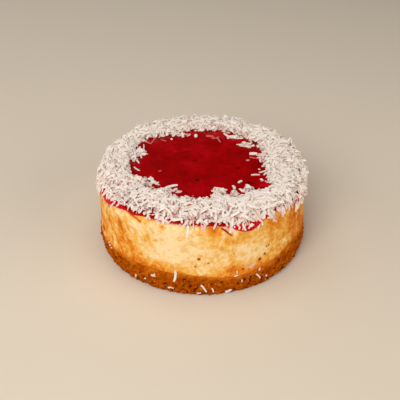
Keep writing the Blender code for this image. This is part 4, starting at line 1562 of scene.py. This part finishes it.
# Soft lights: name, place, diameter, power, colour, whether the jam mirrors it
LIGHTS = (
    ("Key", (-0.45, -1.0, 0.9), 0.9, 11.8, (1.0, 0.965, 0.92), True),
    ("Overhead", (-0.1, 0.0, 1.35), 1.6, 6.2, (1.0, 0.965, 0.93), False),
    ("Right fill", (1.1, -0.6, 0.45), 1.2, 7.6, (1.0, 0.95, 0.88), False),
    ("Back fill", (-0.6, 1.2, 0.8), 1.3, 2.4, (1.0, 0.96, 0.93), False),
    ("Left fill", (-1.2, -0.3, 0.4), 1.3, 5.2, (1.0, 0.96, 0.92), False),
)


def make_camera():
    lens = bpy.data.cameras.new("Camera")
    lens.lens = LENS
    lens.sensor_width = 36.0
    lens.clip_start = 0.01
    camera = bpy.data.objects.new("Camera", lens)
    bpy.context.scene.collection.objects.link(camera)
    camera.location = CAMERA_PLACE
    camera.rotation_euler = (math.radians(90.0 - CAMERA_PITCH), 0.0, 0.0)
    bpy.context.scene.camera = camera


def add_light(name, place, size, power, colour, mirrored):
    light = bpy.data.lights.new(name, "AREA")
    light.shape = "DISK"
    light.size = size
    light.energy = power
    light.color = colour
    item = bpy.data.objects.new(name, light)
    bpy.context.scene.collection.objects.link(item)
    item.location = place
    item.rotation_euler = (LIGHT_AIM - Vector(place)).to_track_quat("-Z", "Y").to_euler()
    item.visible_glossy = mirrored


def make_stage(colours):
    floor = add_primitive(
        bpy.ops.mesh.primitive_plane_add, "floor", size=FLOOR_SIZE, location=(0.0, 0.0, -FLOOR_GAP)
    )
    floor.data.transform(floor.matrix_world)
    floor.matrix_world = Matrix.Identity(4)
    floor.data.materials.append(floor_material(colours))
    make_camera()
    for row in LIGHTS:
        add_light(*row)
    world = bpy.data.worlds.new("Studio")
    bpy.context.scene.world = world
    world.use_nodes = True
    glow = world.node_tree.nodes["Background"]
    glow.inputs["Color"].default_value = WORLD_COLOUR
    glow.inputs["Strength"].default_value = WORLD_LIGHT
    bpy.context.scene.view_settings.view_transform = "Standard"


# Operators, panel and registration

class CAKE_OT_base(bpy.types.Operator):
    """Model the crumb base and its loose grains"""

    bl_idname = "cake.base"
    bl_label = "Crumb Base"

    def execute(self, context):
        make_crumb_base(context.scene.cake_sizes, context.scene.cake_colours)
        make_loose_crumbs(context.scene.cake_sizes)
        return {"FINISHED"}


class CAKE_OT_filling(bpy.types.Operator):
    """Model the baked filling with its browning and air holes"""

    bl_idname = "cake.filling"
    bl_label = "Filling"

    def execute(self, context):
        make_filling(context.scene.cake_colours)
        return {"FINISHED"}


class CAKE_OT_jam(bpy.types.Operator):
    """Model the jam over the top and its drips"""

    bl_idname = "cake.jam"
    bl_label = "Jam"

    def execute(self, context):
        make_jam(context.scene.cake_colours)
        return {"FINISHED"}


class CAKE_OT_coconut(bpy.types.Operator):
    """Heap the coconut round the rim and lay the stray flakes"""

    bl_idname = "cake.coconut"
    bl_label = "Coconut"

    def execute(self, context):
        sizes = context.scene.cake_sizes
        material = coconut_material(context.scene.cake_colours)
        make_coconut_core(make_shreds(sizes, material), material)
        make_strays(sizes, material)
        return {"FINISHED"}


class CAKE_OT_stage(bpy.types.Operator):
    """Set up the floor, the lights and the camera"""

    bl_idname = "cake.stage"
    bl_label = "Stage"

    def execute(self, context):
        make_stage(context.scene.cake_colours)
        return {"FINISHED"}


OPERATORS = (CAKE_OT_base, CAKE_OT_filling, CAKE_OT_jam, CAKE_OT_coconut, CAKE_OT_stage)


class CAKE_PT_panel(bpy.types.Panel):
    """Lists the cake's sizes, colours and steps"""

    bl_idname = "CAKE_PT_panel"
    bl_label = "Baked Cheesecake"
    bl_space_type = "VIEW_3D"
    bl_region_type = "UI"
    bl_category = "Cheesecake"

    def draw(self, context):
        for settings in (context.scene.cake_sizes, context.scene.cake_colours):
            for key in settings.bl_rna.properties.keys():
                if key not in ("rna_type", "name"):
                    self.layout.prop(settings, key)
        for operator in OPERATORS:
            self.layout.operator(operator.bl_idname)


CLASSES = (CakeSizes, CakeColours, *OPERATORS, CAKE_PT_panel)


def register():
    for item in CLASSES:
        bpy.utils.register_class(item)
    bpy.types.Scene.cake_sizes = PointerProperty(type=CakeSizes)
    bpy.types.Scene.cake_colours = PointerProperty(type=CakeColours)


def unregister():
    del bpy.types.Scene.cake_colours
    del bpy.types.Scene.cake_sizes
    for item in reversed(CLASSES):
        bpy.utils.unregister_class(item)


def main():
    register()
    bpy.ops.cake.stage()
    bpy.ops.cake.base()
    bpy.ops.cake.filling()
    bpy.ops.cake.jam()
    bpy.ops.cake.coconut()


if __name__ == "__main__":
    main()
